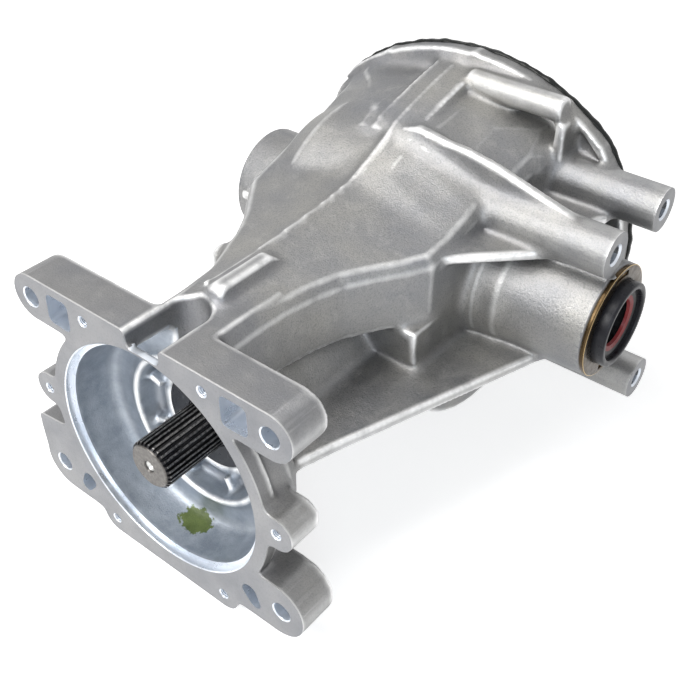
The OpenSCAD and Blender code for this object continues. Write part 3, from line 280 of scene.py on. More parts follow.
def plugs():
    """Solids that close the pockets, the holes, the tubes' ends and the pilot's step of the CAD casting."""
    fill = pockets(PLUG, -STOCK, EAR_DEPTH)
    for s in (-1, 1):
        for x, z in EAR_HOLES:
            fill.append(rod(along_y(s * x, z), EAR_HOLE_R + PLUG, -STOCK, EAR_DEPTH))
        for x, z in TAPS:
            fill.append(rod(along_y(s * x, z), TAP_R + PLUG, -STOCK, TAP_DEPTH + 1))
    for x, y, z, depth in BOSSES:
        way = math.copysign(1, x)
        inner = x - way * (depth + BOSS_PLUG_PAST)
        fill.append(rod(along_x(y, z), BOSS_R - BOSS_PLUG_IN, inner, x + way * STOCK))
    for way, end, bore in TUBES:
        inner = end - way * (SEAL_SEAT_DEPTH + 2)
        fill.append(rod(along_x(AXLE_Y, AXLE_Z), TUBE_R, inner, end + way * STOCK, TUBE_STEPS))
    inner, outer = BELL_IN_R - 1, PILOT_R + 2
    ring = [(inner, -STOCK), (outer, -STOCK), (outer, PILOT_DEPTH + 1), (inner, PILOT_DEPTH + 1)]
    fill.append(turned(ring, along_y(0, 0), PLUG_RING_STEPS))
    return fill


def casting():
    mesh = frame["nodes"]["carrier_housing"].data.copy()
    bm = bmesh.new()
    bm.from_mesh(mesh)
    bmesh.ops.remove_doubles(bm, verts=bm.verts, dist=WELD)
    stock(bm, 1, 0, -1)
    stock(bm, 1, REAR_Y, 1)
    for x, y, z, depth in BOSSES:
        stock(bm, 0, x, math.copysign(1, x), lambda p, y=y, z=z: math.hypot(p.y - y, p.z - z) < BOSS_R + 1)
    bm.to_mesh(mesh)
    bm.free()
    mesh.materials.clear()
    obj = shown("carrier_casting", mesh)
    for part in plugs():
        boolean(obj, joined("fill", [part]), "UNION")
    return obj


def remeshed(obj):
    remesh = obj.modifiers.new("remesh", "REMESH")
    remesh.mode, remesh.voxel_size, remesh.adaptivity = "VOXEL", VOXEL, 0.0
    apply_modifiers(obj)


def around(values, a, b):
    """Sum of a value over each point's neighbours, where a and b are the ends of all edges."""
    n = len(values)
    return np.bincount(a, values[b], n) + np.bincount(b, values[a], n)


def quad_normals(co, quads):
    """Normals of the points, from the four-sided faces round them."""
    diagonal = np.cross(co[quads[:, 2]] - co[quads[:, 0]], co[quads[:, 3]] - co[quads[:, 1]])
    normal = np.zeros((len(co), 3))
    for corner in range(4):
        for k in range(3):
            normal[:, k] += np.bincount(quads[:, corner], diagonal[:, k], len(co))
    return normal / (np.linalg.norm(normal, axis=1)[:, None] + 1e-12)


def relax(obj):
    """Fills inner corners up and wears outer edges down a little. Gives the points and their edge marks."""
    mesh = obj.data
    co = np.zeros(len(mesh.vertices) * 3)
    mesh.vertices.foreach_get("co", co)
    co = co.reshape(-1, 3)
    start = co.copy()
    edges = np.zeros(len(mesh.edges) * 2, np.int32)
    mesh.edges.foreach_get("vertices", edges)
    a, b = edges[0::2], edges[1::2]
    count = around(np.ones(len(co)), a, b)
    quads = np.zeros(len(mesh.loops), np.int32)
    mesh.loops.foreach_get("vertex_index", quads)
    quads = quads.reshape(-1, 4)
    for i in range(RELAX_ROUNDS):
        mean = np.stack([around(co[:, k], a, b) for k in range(3)], 1) / count[:, None]
        step = mean - co
        normal = quad_normals(co, quads)
        bend = (step * normal).sum(1)
        moved = ((co - start) * normal).sum(1)
        rate = np.where(bend > 0, CONCAVE_RATE, CONVEX_RATE)
        rate = np.where((bend > 0) & (moved > CONCAVE_CAP * MM), 0, rate)
        rate = np.where((bend < 0) & (moved < -CONVEX_CAP * MM), 0, rate)
        co = co + step * rate[:, None]
        # The marks are taken early on, while the edges still stand out
        if i == RELAX_ROUNDS // 3:
            mark = -bend / (VOXEL * 0.5)
    mesh.vertices.foreach_set("co", co.ravel())
    mesh.update()
    for i in range(MARK_ROUNDS):
        mark = 0.5 * mark + 0.5 * around(mark, a, b) / count
    return co, mark


def thinned(obj):
    fewer = obj.modifiers.new("fewer", "DECIMATE")
    fewer.ratio = FACES_KEPT
    apply_modifiers(obj)


def tube_face(way, end):
    """Faces a tube's end off and chamfers its outer edge."""
    inner, outer, clear = TUBE_R - 1.5, TUBE_R + 0.6, TUBE_R + 1.4
    edge, outside = end - way * TUBE_CHAMFER, end + way * PAST
    profile = [(0, end), (inner, end), (outer, edge), (clear, edge), (clear, outside), (0, outside)]
    return turned(profile, along_x(AXLE_Y, AXLE_Z), TUBE_STEPS)


def tube_bore(way, end, bore):
    """Bores a tube from its inner room outwards, with the wider seat of the seal at its end."""
    seat, outside = end - way * SEAL_SEAT_DEPTH, end + way * PAST
    profile = [(0, bore), (TUBE_BORE, bore), (TUBE_BORE, seat), (SEAL_SEAT_R, seat), (SEAL_SEAT_R, outside),
               (0, outside)]
    return turned(profile, along_x(AXLE_Y, AXLE_Z), TUBE_STEPS)


def pilot():
    """The pilot recess with its chamfered mouth."""
    mouth = PILOT_R + PILOT_CHAMFER
    return turned([(0, -PAST), (mouth, -PAST), (mouth, 0), (PILOT_R, PILOT_CHAMFER), (PILOT_R, PILOT_DEPTH),
                   (0, PILOT_DEPTH)], along_y(0, 0), PILOT_STEPS)


def holes():
    """The pilot recess, the pockets and every drilled hole."""
    out = [pilot()] + pockets(0, -PAST, EAR_DEPTH + 4)
    for s in (-1, 1):
        out += [drill(along_y(s * x, z), EAR_HOLE_R, 0, EAR_DEPTH + 6) for x, z in EAR_HOLES]
        out += [drill(along_y(s * x, z), TAP_R, 0, TAP_DEPTH) for x, z in TAPS]
    for x, y, z, depth in BOSSES:
        out.append(drill(along_x(y, z), BOSS_HOLE_R, x, x - math.copysign(depth, x), BOSS_CHAMFER))
    return out


def boss_face(x, y, z):
    """Faces a boss off at its end."""
    return rod(along_x(y, z), BOSS_R + BOSS_FACE_OUT, x, x + math.copysign(BOSS_FACE_PAST, x))


def machine(obj):
    """Cuts the machined planes, bores and holes into the rounded casting."""
    cuts = [
        [block(*FRONT_CUT), block(*REAR_CUT)],
        [boss_face(x, y, z) for x, y, z, depth in BOSSES],
        [tube_face(way, end) for way, end, bore in TUBES],
        [tube_bore(way, end, bore) for way, end, bore in TUBES],
        holes(),
        [turned(NOSE_BORE, along_y(0, 0), NOSE_STEPS)],
    ]
    for parts in cuts:
        boolean(obj, joined("tool", parts), "DIFFERENCE")


housing = casting()
remeshed(housing)
relaxed, edge_marks = relax(housing)
thinned(housing)
machine(housing)
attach(housing, "carrier")
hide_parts("carrier_housing")

# Limits in materials, in metres: none below, the front face and the pilot's lip
NONE_BELOW = -1.0
FACE_END, FACE_SOFT = 0.0011, 0.0002
LIP_R, LIP_DEPTH = (0.0848, 0.0862), (0.0055, 0.0075)
# Where the painted shade on the front end starts and where it is darkest, and where the bell room starts
FRONT_SHADE_FROM, FRONT_SHADE_TO, BELL_START = 0.07, 0.025, 0.001
# The shaft's crests, end face and centre hole
CREST_R, SHAFT_FACE, CENTRE_R, CENTRE_END = (0.0175, 0.0179), -0.0046, 0.0037, 0.002
# The seal seat's outer zone, golden line of painted highlight and two slots, and the lip's red inside
SEAT_OUTER_R, SEAT_LINE_R, LINE_SOFT = (0.0423, 0.0427), (0.0422, 0.0426), 0.0001
SEAT_SLOT_X, SEAT_SLOT_R = (0.1, 0.1815), (0.0352, 0.0401)
LIP_RED_R = (0.0212, 0.0216)
# A noise texture's values lie between these
NOISE = (0.3, 0.7)

# Colours of the casting
SKIN_COOL, SKIN_WARM = (0.215, 0.22, 0.235), (0.32, 0.314, 0.298)
# The third colour here darkens the front end as painted shade
BLOTCH, GRAIN, FRONT_SHADE = (0.42, 0.415, 0.40), (0.12, 0.125, 0.14), (0.17, 0.17, 0.175)
# The bell room's two colours are painted light, bright and bluish
BELL_LIT_DARK, BELL_LIT_LIGHT = (0.36, 0.42, 0.50), (0.56, 0.62, 0.70)
# Painted highlight for outer edges, and painted shade for inner corners
PAINTED_HIGHLIGHT, CREVICE_SHADE = (0.84, 0.84, 0.84), (0.13, 0.13, 0.14)
PAINT_DARK, PAINT_LIGHT = (0.06, 0.09, 0.015), (0.12, 0.16, 0.04)
FACED_DARK, FACED_LIGHT, FACED_GRAIN = (0.20, 0.205, 0.22), (0.27, 0.27, 0.275), (0.12, 0.12, 0.13)
# Colours of the shaft and the seal
# The third colour here is a painted glint on the spline's crests
OIL_DARK, OIL_LIGHT, CREST_GLINT = (0.010, 0.010, 0.012), (0.030, 0.029, 0.030), (0.30, 0.29, 0.28)
# The third colour here is a painted highlight in the centre hole
END_DARK, END_LIGHT, CENTRE_HIGHLIGHT = (0.075, 0.070, 0.065), (0.15, 0.14, 0.13), (0.62, 0.62, 0.60)
LACQUER_DARK, LACQUER_LIGHT = (0.030, 0.021, 0.012), (0.085, 0.062, 0.038)
# The golden colour is a painted highlight along the seat's edge
LACQUER_EDGE, GOLD_HIGHLIGHT, TAN = (0.075, 0.048, 0.022), (0.62, 0.44, 0.20), (0.36, 0.28, 0.18)
# The two reds are the lip's own colour, darkened as painted shade deep in the seal
RED_SHADED_DARK, RED_SHADED_LIGHT, LIP_BLACK = (0.17, 0.010, 0.014), (0.28, 0.020, 0.022), (0.010, 0.010, 0.012)


# Shader nodes
def material(name):
    m = bpy.data.materials.new(name)
    m.use_nodes = True
    tree = m.node_tree
    return m, tree, tree.nodes["Principled BSDF"]


def position(tree):
    return tree.nodes.new("ShaderNodeTexCoord").outputs["Object"]


def noise(tree, place, scale, detail=4.0, rough=0.55):
    n = tree.nodes.new("ShaderNodeTexNoise")
    n.inputs["Scale"].default_value = scale
    n.inputs["Detail"].default_value = detail
    n.inputs["Roughness"].default_value = rough
    tree.links.new(place, n.inputs["Vector"])
    return n.outputs["Fac"]


def ramp(tree, value, low, high, a, b):
    """Maps a value between low and high to a colour or a grey between a and b."""
    n = tree.nodes.new("ShaderNodeMapRange")
    n.inputs["From Min"].default_value, n.inputs["From Max"].default_value = low, high
    tree.links.new(value, n.inputs["Value"])
    if isinstance(a, (int, float)):
        n.inputs["To Min"].default_value, n.inputs["To Max"].default_value = a, b
        return n.outputs["Result"]
    return mixed(tree, n.outputs["Result"], a, b)


def patchy(tree, value, a, b):
    """Spreads a noise over a colour or a grey from a to b."""
    return ramp(tree, value, *NOISE, a, b)


def mixed(tree, fac, a, b):
    """A colour between a and b, each a colour or a socket."""
    m = tree.nodes.new("ShaderNodeMix")
    m.data_type = "RGBA"
    tree.links.new(fac, m.inputs["Factor"])
    for i, v in ((6, a), (7, b)):
        if isinstance(v, tuple):
            m.inputs[i].default_value = (*v, 1)
        else:
            tree.links.new(v, m.inputs[i])
    return m.outputs[2]


def math2(tree, kind, a, b):
    n = tree.nodes.new("ShaderNodeMath")
    n.operation = kind
    for i, v in enumerate((a, b)):
        if isinstance(v, (int, float)):
            n.inputs[i].default_value = v
        else:
            tree.links.new(v, n.inputs[i])
    return n.outputs[0]


def both(tree, a, b):
    """The product, which is 1 only where both are."""
    return math2(tree, "MULTIPLY", a, b)


def bump(tree, height, distance, strength, normal=None):
    n = tree.nodes.new("ShaderNodeBump")
    n.inputs["Distance"].default_value, n.inputs["Strength"].default_value = distance, strength
    tree.links.new(height, n.inputs["Height"])
    if normal is not None:
        tree.links.new(normal, n.inputs["Normal"])
    return n.outputs["Normal"]


def distance(tree, place, centre, scale):
    """Length of the scaled way from a centre, both in metres; a scale of 0 leaves that axis out."""
    way = tree.nodes.new("ShaderNodeVectorMath")
    way.operation = "SUBTRACT"
    way.inputs[1].default_value = centre
    tree.links.new(place, way.inputs[0])
    part = tree.nodes.new("ShaderNodeVectorMath")
    part.operation = "MULTIPLY"
    part.inputs[1].default_value = scale
    tree.links.new(way.outputs[0], part.inputs[0])
    size = tree.nodes.new("ShaderNodeVectorMath")
    size.operation = "LENGTH"
    tree.links.new(part.outputs[0], size.inputs[0])
    return size.outputs["Value"]


def from_input(tree, place):
    """Distance from the input's axis."""
    return distance(tree, place, (0, 0, 0), (1, 0, 1))


def from_axle(tree, place):
    """Distance from the outputs' axis."""
    return distance(tree, place, (0, AXLE_Y * MM, AXLE_Z * MM), (0, 1, 1))


def along(tree, place, axis):
    apart = tree.nodes.new("ShaderNodeSeparateXYZ")
    tree.links.new(place, apart.inputs[0])
    return apart.outputs[axis]


def within(tree, value, low, high, soft=0.0003):
    """1 between low and high, 0 outside."""
    above = ramp(tree, value, low - soft, low + soft, 0.0, 1.0)
    return both(tree, above, ramp(tree, value, high - soft, high + soft, 1.0, 0.0))


def uneven(tree, shader, place, scale, low, high):
    """A gloss that wanders between two roughnesses."""
    tree.links.new(patchy(tree, noise(tree, place, scale, 4), low, high), shader.inputs["Roughness"])


def grained(tree, shader, height, strength):
    """A shallow relief, 0.2 mm high at full strength."""
    tree.links.new(bump(tree, height, 0.0002, strength), shader.inputs["Normal"])


# Materials
def metal(name, dark, light, metallic, rough, grain=(700, 0.12)):
    """A metal with slow colour variation, uneven gloss and a fine grain of a scale and a strength."""
    m, t, s = material(name)
    p = position(t)
    t.links.new(patchy(t, noise(t, p, 28, 5), dark, light), s.inputs["Base Color"])
    uneven(t, s, p, 112, rough - 0.08, rough + 0.08)
    grained(t, s, noise(t, p, grain[0], 3), grain[1])
    s.inputs["Metallic"].default_value = metallic
    return m


def cast_skin(t, p, deep, middle, fine):
    """Grey skin, cool to warm, with light blotches and a dark grain, and painted shade that darkens it
    towards the front flange.
    """
    base = ramp(t, noise(t, p, 14, 5), 0.32, 0.68, SKIN_COOL, SKIN_WARM)
    base = mixed(t, ramp(t, middle, 0.52, 0.72, 0.0, 0.4), base, BLOTCH)
    base = mixed(t, ramp(t, fine, 0.30, 0.52, 0.6, 0.0), base, GRAIN)
    # Painted shade: darker towards the front end
    return mixed(t, ramp(t, deep, FRONT_SHADE_TO, FRONT_SHADE_FROM, 0.45, 0.0), base, FRONT_SHADE)


def bell_room(t, away, deep):
    """1 inside the bell."""
    bell = None
    for reach, floor in BELL_STEPS:
        room = both(t, within(t, away, NONE_BELOW, reach), within(t, deep, BELL_START, floor))
        bell = room if bell is None else math2(t, "MAXIMUM", bell, room)
    return bell


def front_rim(t, away, deep):
    """The painted highlight line just behind the front face, and the brighter one on the pilot's lip."""
    face = within(t, deep, NONE_BELOW, FACE_END, FACE_SOFT)
    lip = both(t, within(t, away, *LIP_R), within(t, deep, *LIP_DEPTH))
    return math2(t, "MAXIMUM", both(t, face, 0.5), lip)


def paint_daub(t, p):
    """1 on the daub, with a ragged outline."""
    wander = patchy(t, noise(t, p, 240, 3), -0.25, 0.25)
    ragged = math2(t, "ADD", distance(t, p, DAUB, DAUB_SCALE), wander)
    return ramp(t, ragged, 0.92, 1.04, 1.0, 0.0)


def cast_metal():
    """Cast skin: painted highlights on outer edges, painted shade in inner corners, a bell room painted
    bright and bluish as painted light, with a daub of green paint.
    """
    m, t, s = material("cast_aluminium")
    p = position(t)
    middle, fine = noise(t, p, 90, 6, 0.65), noise(t, p, 900, 3, 0.7)
    away, deep = from_input(t, p), along(t, p, "Y")
    mark = t.nodes.new("ShaderNodeAttribute")
    mark.attribute_name = "edge"
    edge = mark.outputs["Fac"]
    base = cast_skin(t, p, deep, middle, fine)
    # Painted light: the bell room is made bright and bluish in its colour
    bell = both(t, bell_room(t, away, deep), 0.6)
    base = mixed(t, bell, base, ramp(t, middle, 0.35, 0.65, BELL_LIT_DARK, BELL_LIT_LIGHT))
    # Painted highlight on outer edges, broken up by noise
    painted_highlight = both(t, ramp(t, edge, EDGE_LOW, EDGE_HIGH, 0.0, 1.0), ramp(t, middle, 0.3, 0.55, 0.55, 1.0))
    base = mixed(t, math2(t, "MAXIMUM", painted_highlight, front_rim(t, away, deep)), base, PAINTED_HIGHLIGHT)
    # Painted shade in inner corners
    base = mixed(t, ramp(t, edge, -EDGE_HIGH, -EDGE_LOW, 0.45, 0.0), base, CREVICE_SHADE)
    daub = paint_daub(t, p)
    base = mixed(t, daub, base, ramp(t, middle, 0.35, 0.65, PAINT_DARK, PAINT_LIGHT))
    t.links.new(base, s.inputs["Base Color"])
    t.links.new(ramp(t, daub, 0, 1, 0.82, 0.0), s.inputs["Metallic"])
    gloss = math2(t, "SUBTRACT", patchy(t, middle, 0.35, 0.49), both(t, painted_highlight, 0.12))
    t.links.new(gloss, s.inputs["Roughness"])
    sandy = bump(t, fine, 0.0006, 0.50)
    t.links.new(bump(t, noise(t, p, 260, 4, 0.6), 0.0008, 0.22, sandy), s.inputs["Normal"])
    return m


def machined_metal():
    """Faced aluminium with fine turning marks."""
    m, t, s = material("machined_aluminium")
    p = position(t)
    fine = noise(t, p, 600, 3)
    base = patchy(t, noise(t, p, 18, 5), FACED_DARK, FACED_LIGHT)
    base = mixed(t, ramp(t, fine, 0.3, 0.5, 0.25, 0.0), base, FACED_GRAIN)
    t.links.new(base, s.inputs["Base Color"])
    uneven(t, s, p, 60, 0.36, 0.50)
    wave = t.nodes.new("ShaderNodeTexWave")
    wave.wave_type, wave.rings_direction = "RINGS", "Y"
    wave.inputs["Scale"].default_value = 420
    wave.inputs["Distortion"].default_value = 1.5
    t.links.new(p, wave.inputs["Vector"])
    marks = bump(t, wave.outputs["Fac"], 0.00006, 0.35)
    t.links.new(bump(t, fine, 0.0001, 0.2, marks), s.inputs["Normal"])
    s.inputs["Metallic"].default_value = 0.85
    return m


def shaft_black():
    """Oiled dark steel with a painted glint on the spline's crests, a bare end face, and a painted highlight
    in the centre hole.
    """
    m, t, s = material("shaft_black")
    p = position(t)
    fine = noise(t, p, 500, 3)
    away, end = from_input(t, p), along(t, p, "Y")
    base = patchy(t, noise(t, p, 40, 4), OIL_DARK, OIL_LIGHT)
    # Painted glint on the spline's crests
    crest = both(t, ramp(t, away, *CREST_R, 0.0, 1.0), ramp(t, fine, 0.35, 0.6, 0.15, 0.75))
    base = mixed(t, crest, base, CREST_GLINT)
    base = mixed(t, within(t, end, NONE_BELOW, SHAFT_FACE), base, patchy(t, fine, END_DARK, END_LIGHT))
    # Painted highlight in the centre hole
    centre = both(t, within(t, away, NONE_BELOW, CENTRE_R), within(t, end, NONE_BELOW, CENTRE_END))
    base = mixed(t, centre, base, CENTRE_HIGHLIGHT)
    t.links.new(base, s.inputs["Base Color"])
    uneven(t, s, p, 160, 0.26, 0.42)
    grained(t, s, fine, 0.2)
    s.inputs["Metallic"].default_value = 0.75
    return m


def seal_rim():
    """Lacquered brown steel seat: a golden painted highlight round its edge, tan in its two slots."""
    m, t, s = material("seal_rim")
    p = position(t)
    away = from_axle(t, p)
    base = patchy(t, noise(t, p, 60, 5), LACQUER_DARK, LACQUER_LIGHT)
    base = mixed(t, ramp(t, away, *SEAT_OUTER_R, 0.0, 0.9), base, LACQUER_EDGE)
    # Painted golden highlight round the seat's edge
    base = mixed(t, within(t, away, *SEAT_LINE_R, LINE_SOFT), base, GOLD_HIGHLIGHT)
    slot = both(t, within(t, along(t, p, "X"), *SEAT_SLOT_X), within(t, away, *SEAT_SLOT_R))
    t.links.new(mixed(t, slot, base, TAN), s.inputs["Base Color"])
    uneven(t, s, p, 200, 0.22, 0.40)
    grained(t, s, noise(t, p, 500, 3), 0.2)
    s.inputs["Metallic"].default_value = 0.92
    return m


def rubbery(t, s, p, base, low, high):
    """A dull skin over a base colour, with its roughness between two limits."""
    t.links.new(base, s.inputs["Base Color"])
    uneven(t, s, p, 220, low, high)
    grained(t, s, noise(t, p, 1400, 3), 0.25)
    s.inputs["Specular IOR Level"].default_value = 0.22


def lip_rubber():
    """Red at the lip itself, darkened as painted shade, and black towards the seal that holds it."""
    m, t, s = material("lip_rubber")
    p = position(t)
    # The lip's red, darkened as painted shade
    red = patchy(t, noise(t, p, 60, 5), RED_SHADED_DARK, RED_SHADED_LIGHT)
    base = mixed(t, ramp(t, from_axle(t, p), *LIP_RED_R, 0.0, 1.0), red, LIP_BLACK)
    rubbery(t, s, p, base, 0.26, 0.42)
    return m


def rubber(name, dark, light, rough):
    m, t, s = material(name)
    p = position(t)
    rubbery(t, s, p, patchy(t, noise(t, p, 60, 5), dark, light), rough - 0.07, rough + 0.1)
    return m


CAST, MACHINED = cast_metal(), machined_metal()
# The walls of the pilot, the pockets and the holes are painted bright and bluish: painted light inside them
DRILLED_LIT = metal("drilled_aluminium_lit", (0.62, 0.67, 0.74), (0.78, 0.81, 0.86), 0.8, 0.32, (300, 0.3))
# Each slot's material: its dark and light colour, then the metallic part of a metal, roughness and grain
SLOTS = {
    "cover_paint": metal("cover_paint", (0.012, 0.012, 0.013), (0.03, 0.03, 0.032), 0.0, 0.36, (300, 0.15)),
    "sealant": rubber("sealant", (0.006, 0.007, 0.007), (0.014, 0.016, 0.015), 0.24),
    "zinc_steel": metal("zinc_steel", (0.42, 0.42, 0.40), (0.60, 0.60, 0.56), 0.9, 0.34),
    "plug_steel": metal("plug_steel", (0.20, 0.19, 0.17), (0.34, 0.32, 0.28), 0.85, 0.42),
    "seal_rubber": rubber("seal_rubber", (0.006, 0.006, 0.009), (0.016, 0.017, 0.022), 0.30),
    "lip_rubber": lip_rubber(),
    "seal_rim": seal_rim(),
    "bearing_steel": metal("bearing_steel", (0.50, 0.50, 0.52), (0.62, 0.62, 0.63), 1.0, 0.24, (900, 0.06)),
    "adjuster_iron": metal("adjuster_iron", (0.22, 0.22, 0.23), (0.34, 0.34, 0.35), 0.9, 0.40),
    "shaft_black": shaft_black(),
    "nut_steel": metal("nut_steel", (0.30, 0.30, 0.31), (0.44, 0.44, 0.45), 0.95, 0.34),
    "case_iron": metal("case_iron", (0.11, 0.11, 0.11), (0.22, 0.21, 0.20), 0.7, 0.55, (500, 0.3)),
    "gear_steel": metal("gear_steel", (0.26, 0.26, 0.28), (0.42, 0.42, 0.44), 0.95, 0.30),
    "thrust_bronze": metal("thrust_bronze", (0.42, 0.27, 0.10), (0.58, 0.40, 0.17), 0.95, 0.34),
}

for part in frame["record"]["subparts"]:
    if part["node"] != "carrier_housing":
        data = frame["nodes"][part["node"]].data
        data.materials.clear()
        data.materials.append(SLOTS[part["material_slot"]])


# The casting's materials, by the place of each face
def per_face(mesh, field):
    values = np.zeros(len(mesh.polygons) * 3)
    mesh.polygons.foreach_get(field, values)
    return values.reshape(-1, 3)


def machined_faces(place, normal):
    """The flanges, the bosses' ends, and the tubes' ends and bores."""
    px, py, pz = place.T
    found = (np.abs(py) < FLAT) & (normal[:, 1] < -FACING)
    found |= (np.abs(py - REAR_Y) < FLAT) & (normal[:, 1] > FACING)
    for x, y, z, depth in BOSSES:
        found |= (np.abs(px - x) < FLAT) & (np.hypot(py - y, pz - z) < BOSS_R + 2)
    tube = np.hypot(py - AXLE_Y, pz - AXLE_Z)
    chamfer, inner, outer = TUBE_CHAMFER + 0.1, 30.0, TUBE_R + 0.8
    ends = (px > TUBE_RIGHT - chamfer) | (px < TUBE_LEFT + chamfer)
    found |= ends & (tube > inner) & (tube < outer)
    bores = (px > BORE_RIGHT) | (px < BORE_LEFT)
    found |= bores & (tube < SEAL_SEAT_R + 0.1) & (np.abs(normal[:, 0]) < 0.2)
    return found


def drilled_faces(place, normal):
    """The walls of the pilot, the pockets and the holes, without the pockets' floors."""
    px, py, pz = place.T
    found = (np.abs(np.hypot(px, pz) - PILOT_R) < 3.1) & (py < PILOT_DEPTH + FLAT) & (py > INSIDE)
    for low, high in (EAR_POCKET_BOX, FOOT_POCKET_BOX):
        across = (np.abs(px) > low[0]) & (np.abs(px) < high[0]) & (pz > low[1]) & (pz < high[1])
        found |= across & (py > INSIDE) & (py < EAR_DEPTH - 1)
    for s in (-1, 1):
        for x, z in EAR_HOLES:
            found |= (np.hypot(px - s * x, pz - z) < EAR_HOLE_R + 1) & (py < EAR_DEPTH + 1)
        for x, z in TAPS:
            found |= (np.hypot(px - s * x, pz - z) < TAP_R + 1) & (py < TAP_DEPTH + 4)
    for x, y, z, depth in BOSSES:
        inwards = np.abs(px - x)
        found |= (np.hypot(py - y, pz - z) < BOSS_HOLE_R + 1.6) & (inwards < depth + 8) & (inwards > FLAT)
    return found & ~((py > EAR_DEPTH - 2) & (np.abs(normal[:, 1]) > FACING))


def keep_marks(mesh, points, marks):
    """Carries the edge marks over from the rounded casting to the nearest points of the machined one."""
    tree = KDTree(len(points))
    for i, place in enumerate(points):
        tree.insert(place, i)
    tree.balance()
    edge = mesh.attributes.new("edge", "FLOAT", "POINT")
    edge.data.foreach_set("value", [marks[tree.find(v.co)[1]] for v in mesh.vertices])


def dress(obj, points, marks):
    """Cast skin everywhere, and the machined and drilled faces by their place."""
    mesh = obj.data
    mesh.materials.clear()
    for m in (CAST, MACHINED, DRILLED_LIT):
        mesh.materials.append(m)
    place, normal = per_face(mesh, "center") / MM, per_face(mesh, "normal")
    index = np.zeros(len(place), np.int32)
    index[machined_faces(place, normal)] = 1
    index[drilled_faces(place, normal)] = 2
    mesh.polygons.foreach_set("material_index", index)
    keep_marks(mesh, points, marks)
    mesh.shade_smooth()
    mesh.set_sharp_from_angle(angle=math.radians(38))
    mesh.update()


dress(housing, relaxed, edge_marks)

# Width in millimetres by which the edges of each outer piece are rounded
SOFT_EDGES = {"rear_cover": 1.2, "cover_bolts": 0.35, "breather": 0.3, "fill_plug": 0.4, "drain_plug": 0.4,
              "seal_carrier_right": 0.45, "seal_carrier_left": 0.45,
              "output_seal_right": 0.7, "output_seal_left": 0.7}


def softened(node):
    """A copy of a CAD piece with rounded edges, in its place."""
    obj = shown(node + "_soft", frame["nodes"][node].data.copy())
    weld = obj.modifiers.new("weld", "WELD")
    weld.merge_threshold = WELD
    bevel = obj.modifiers.new("bevel", "BEVEL")
    bevel.width, bevel.segments, bevel.angle_limit = SOFT_EDGES[node] * MM, 2, math.radians(28)
    apply_modifiers(obj)
    obj.data.shade_smooth()
    obj.data.set_sharp_from_angle(angle=math.radians(30))
    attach(obj, "carrier")
    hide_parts(node)


for part in frame["record"]["subparts"]:
    if part["node"] in SOFT_EDGES:
        softened(part["node"])


# Small pieces that the solids leave out
def placed(obj, look):
    """Gives a new piece of the casting its material and its body."""
    obj.data.materials.append(look)
    obj.data.shade_smooth()
    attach(obj, "carrier")


def thread(place, start, turns, steps=24):
    """A helical ridge on the wall of a tapped hole, pointing inwards."""
    root, crest, half = TAP_R + 0.1, TAP_R - THREAD_HEIGHT, 0.46
    points, faces = [], []
    count = int(turns * steps)
    for i in range(count + 1):
        a = 2 * math.pi * i / steps
        s = start + TAP_PITCH * i / steps
        for reach, shift in ((root, -half), (crest, 0), (root, half)):
            points.append(place(reach * math.cos(a), reach * math.sin(a), s + shift * TAP_PITCH))
    for i in range(count):
        for k in range(3):
            j = (k + 1) % 3
            faces.append((3 * i + k, 3 * i + j, 3 * i + 3 + j, 3 * i + 3 + k))
    faces += [(0, 1, 2), (3 * count, 3 * count + 2, 3 * count + 1)]
    return solid(points, faces)


def tap_threads(start=1.2):
    turns = (TAP_DEPTH - 2) / TAP_PITCH
    threads = [thread(along_y(side * x, z), start, turns) for side in (-1, 1) for x, z in TAPS]
    placed(joined("tap_threads", threads), DRILLED_LIT)


def outer_edge(node, y):
    """The outer edge of a flat piece at a place along Y, as points (x, z) in millimetres."""
    bm = bmesh.new()
    bm.from_mesh(frame["nodes"][node].data)
    bmesh.ops.remove_doubles(bm, verts=bm.verts, dist=WELD)
    links = {}
    for e in bm.edges:
        lean = [abs(f.normal.y) for f in e.link_faces]
        on_plane = all(abs(v.co.y - y * MM) < ON_EDGE for v in e.verts)
        if on_plane and min(lean) < UPRIGHT and max(lean) > FACING:
            for v, other in (e.verts, reversed(e.verts)):
                links.setdefault(v, []).append(other)
    start = max(links, key=lambda v: v.co.x)
    loop, before, at = [start], None, start
    while True:
        after = [v for v in links[at] if v is not before]
        before, at = at, after[0]
        if at is start:
            break
        loop.append(at)
    out = np.array([(v.co.x, v.co.z) for v in loop]) / MM
    bm.free()
    return out


def evenly(edge, step):
    """Points at even steps along a closed edge, with the way outwards at each."""
    closed = np.vstack([edge, edge[:1]])
    run = np.concatenate([[0], np.cumsum(np.hypot(*np.diff(closed, axis=0).T))])
    at = np.linspace(0, run[-1], int(run[-1] / step), endpoint=False)
    x, z = np.interp(at, run, closed[:, 0]), np.interp(at, run, closed[:, 1])
    dx, dz = np.roll(x, -1) - np.roll(x, 1), np.roll(z, -1) - np.roll(z, 1)
    out = np.stack([dz, -dx], 1) / np.hypot(dx, dz)[:, None]
    if ((x - REAR_X) * out[:, 0] + (z - AXLE_Z) * out[:, 1]).mean() < 0:
        out = -out
    return x, z, out


def wobbles(n):
    """Two seeded wavy lines that close on themselves, for the bead's height and width."""
    rng = np.random.default_rng(7)
    swell, shift = np.zeros(n), np.zeros(n)
    for waves in (7, 18, 37, 74):
        for wobble in (swell, shift):
            wobble += rng.uniform(0.5, 1.0) * np.sin(2 * np.pi * (waves * np.arange(n) / n + rng.random()))
    return swell.clip(-2, 3), shift.clip(-2, 3)


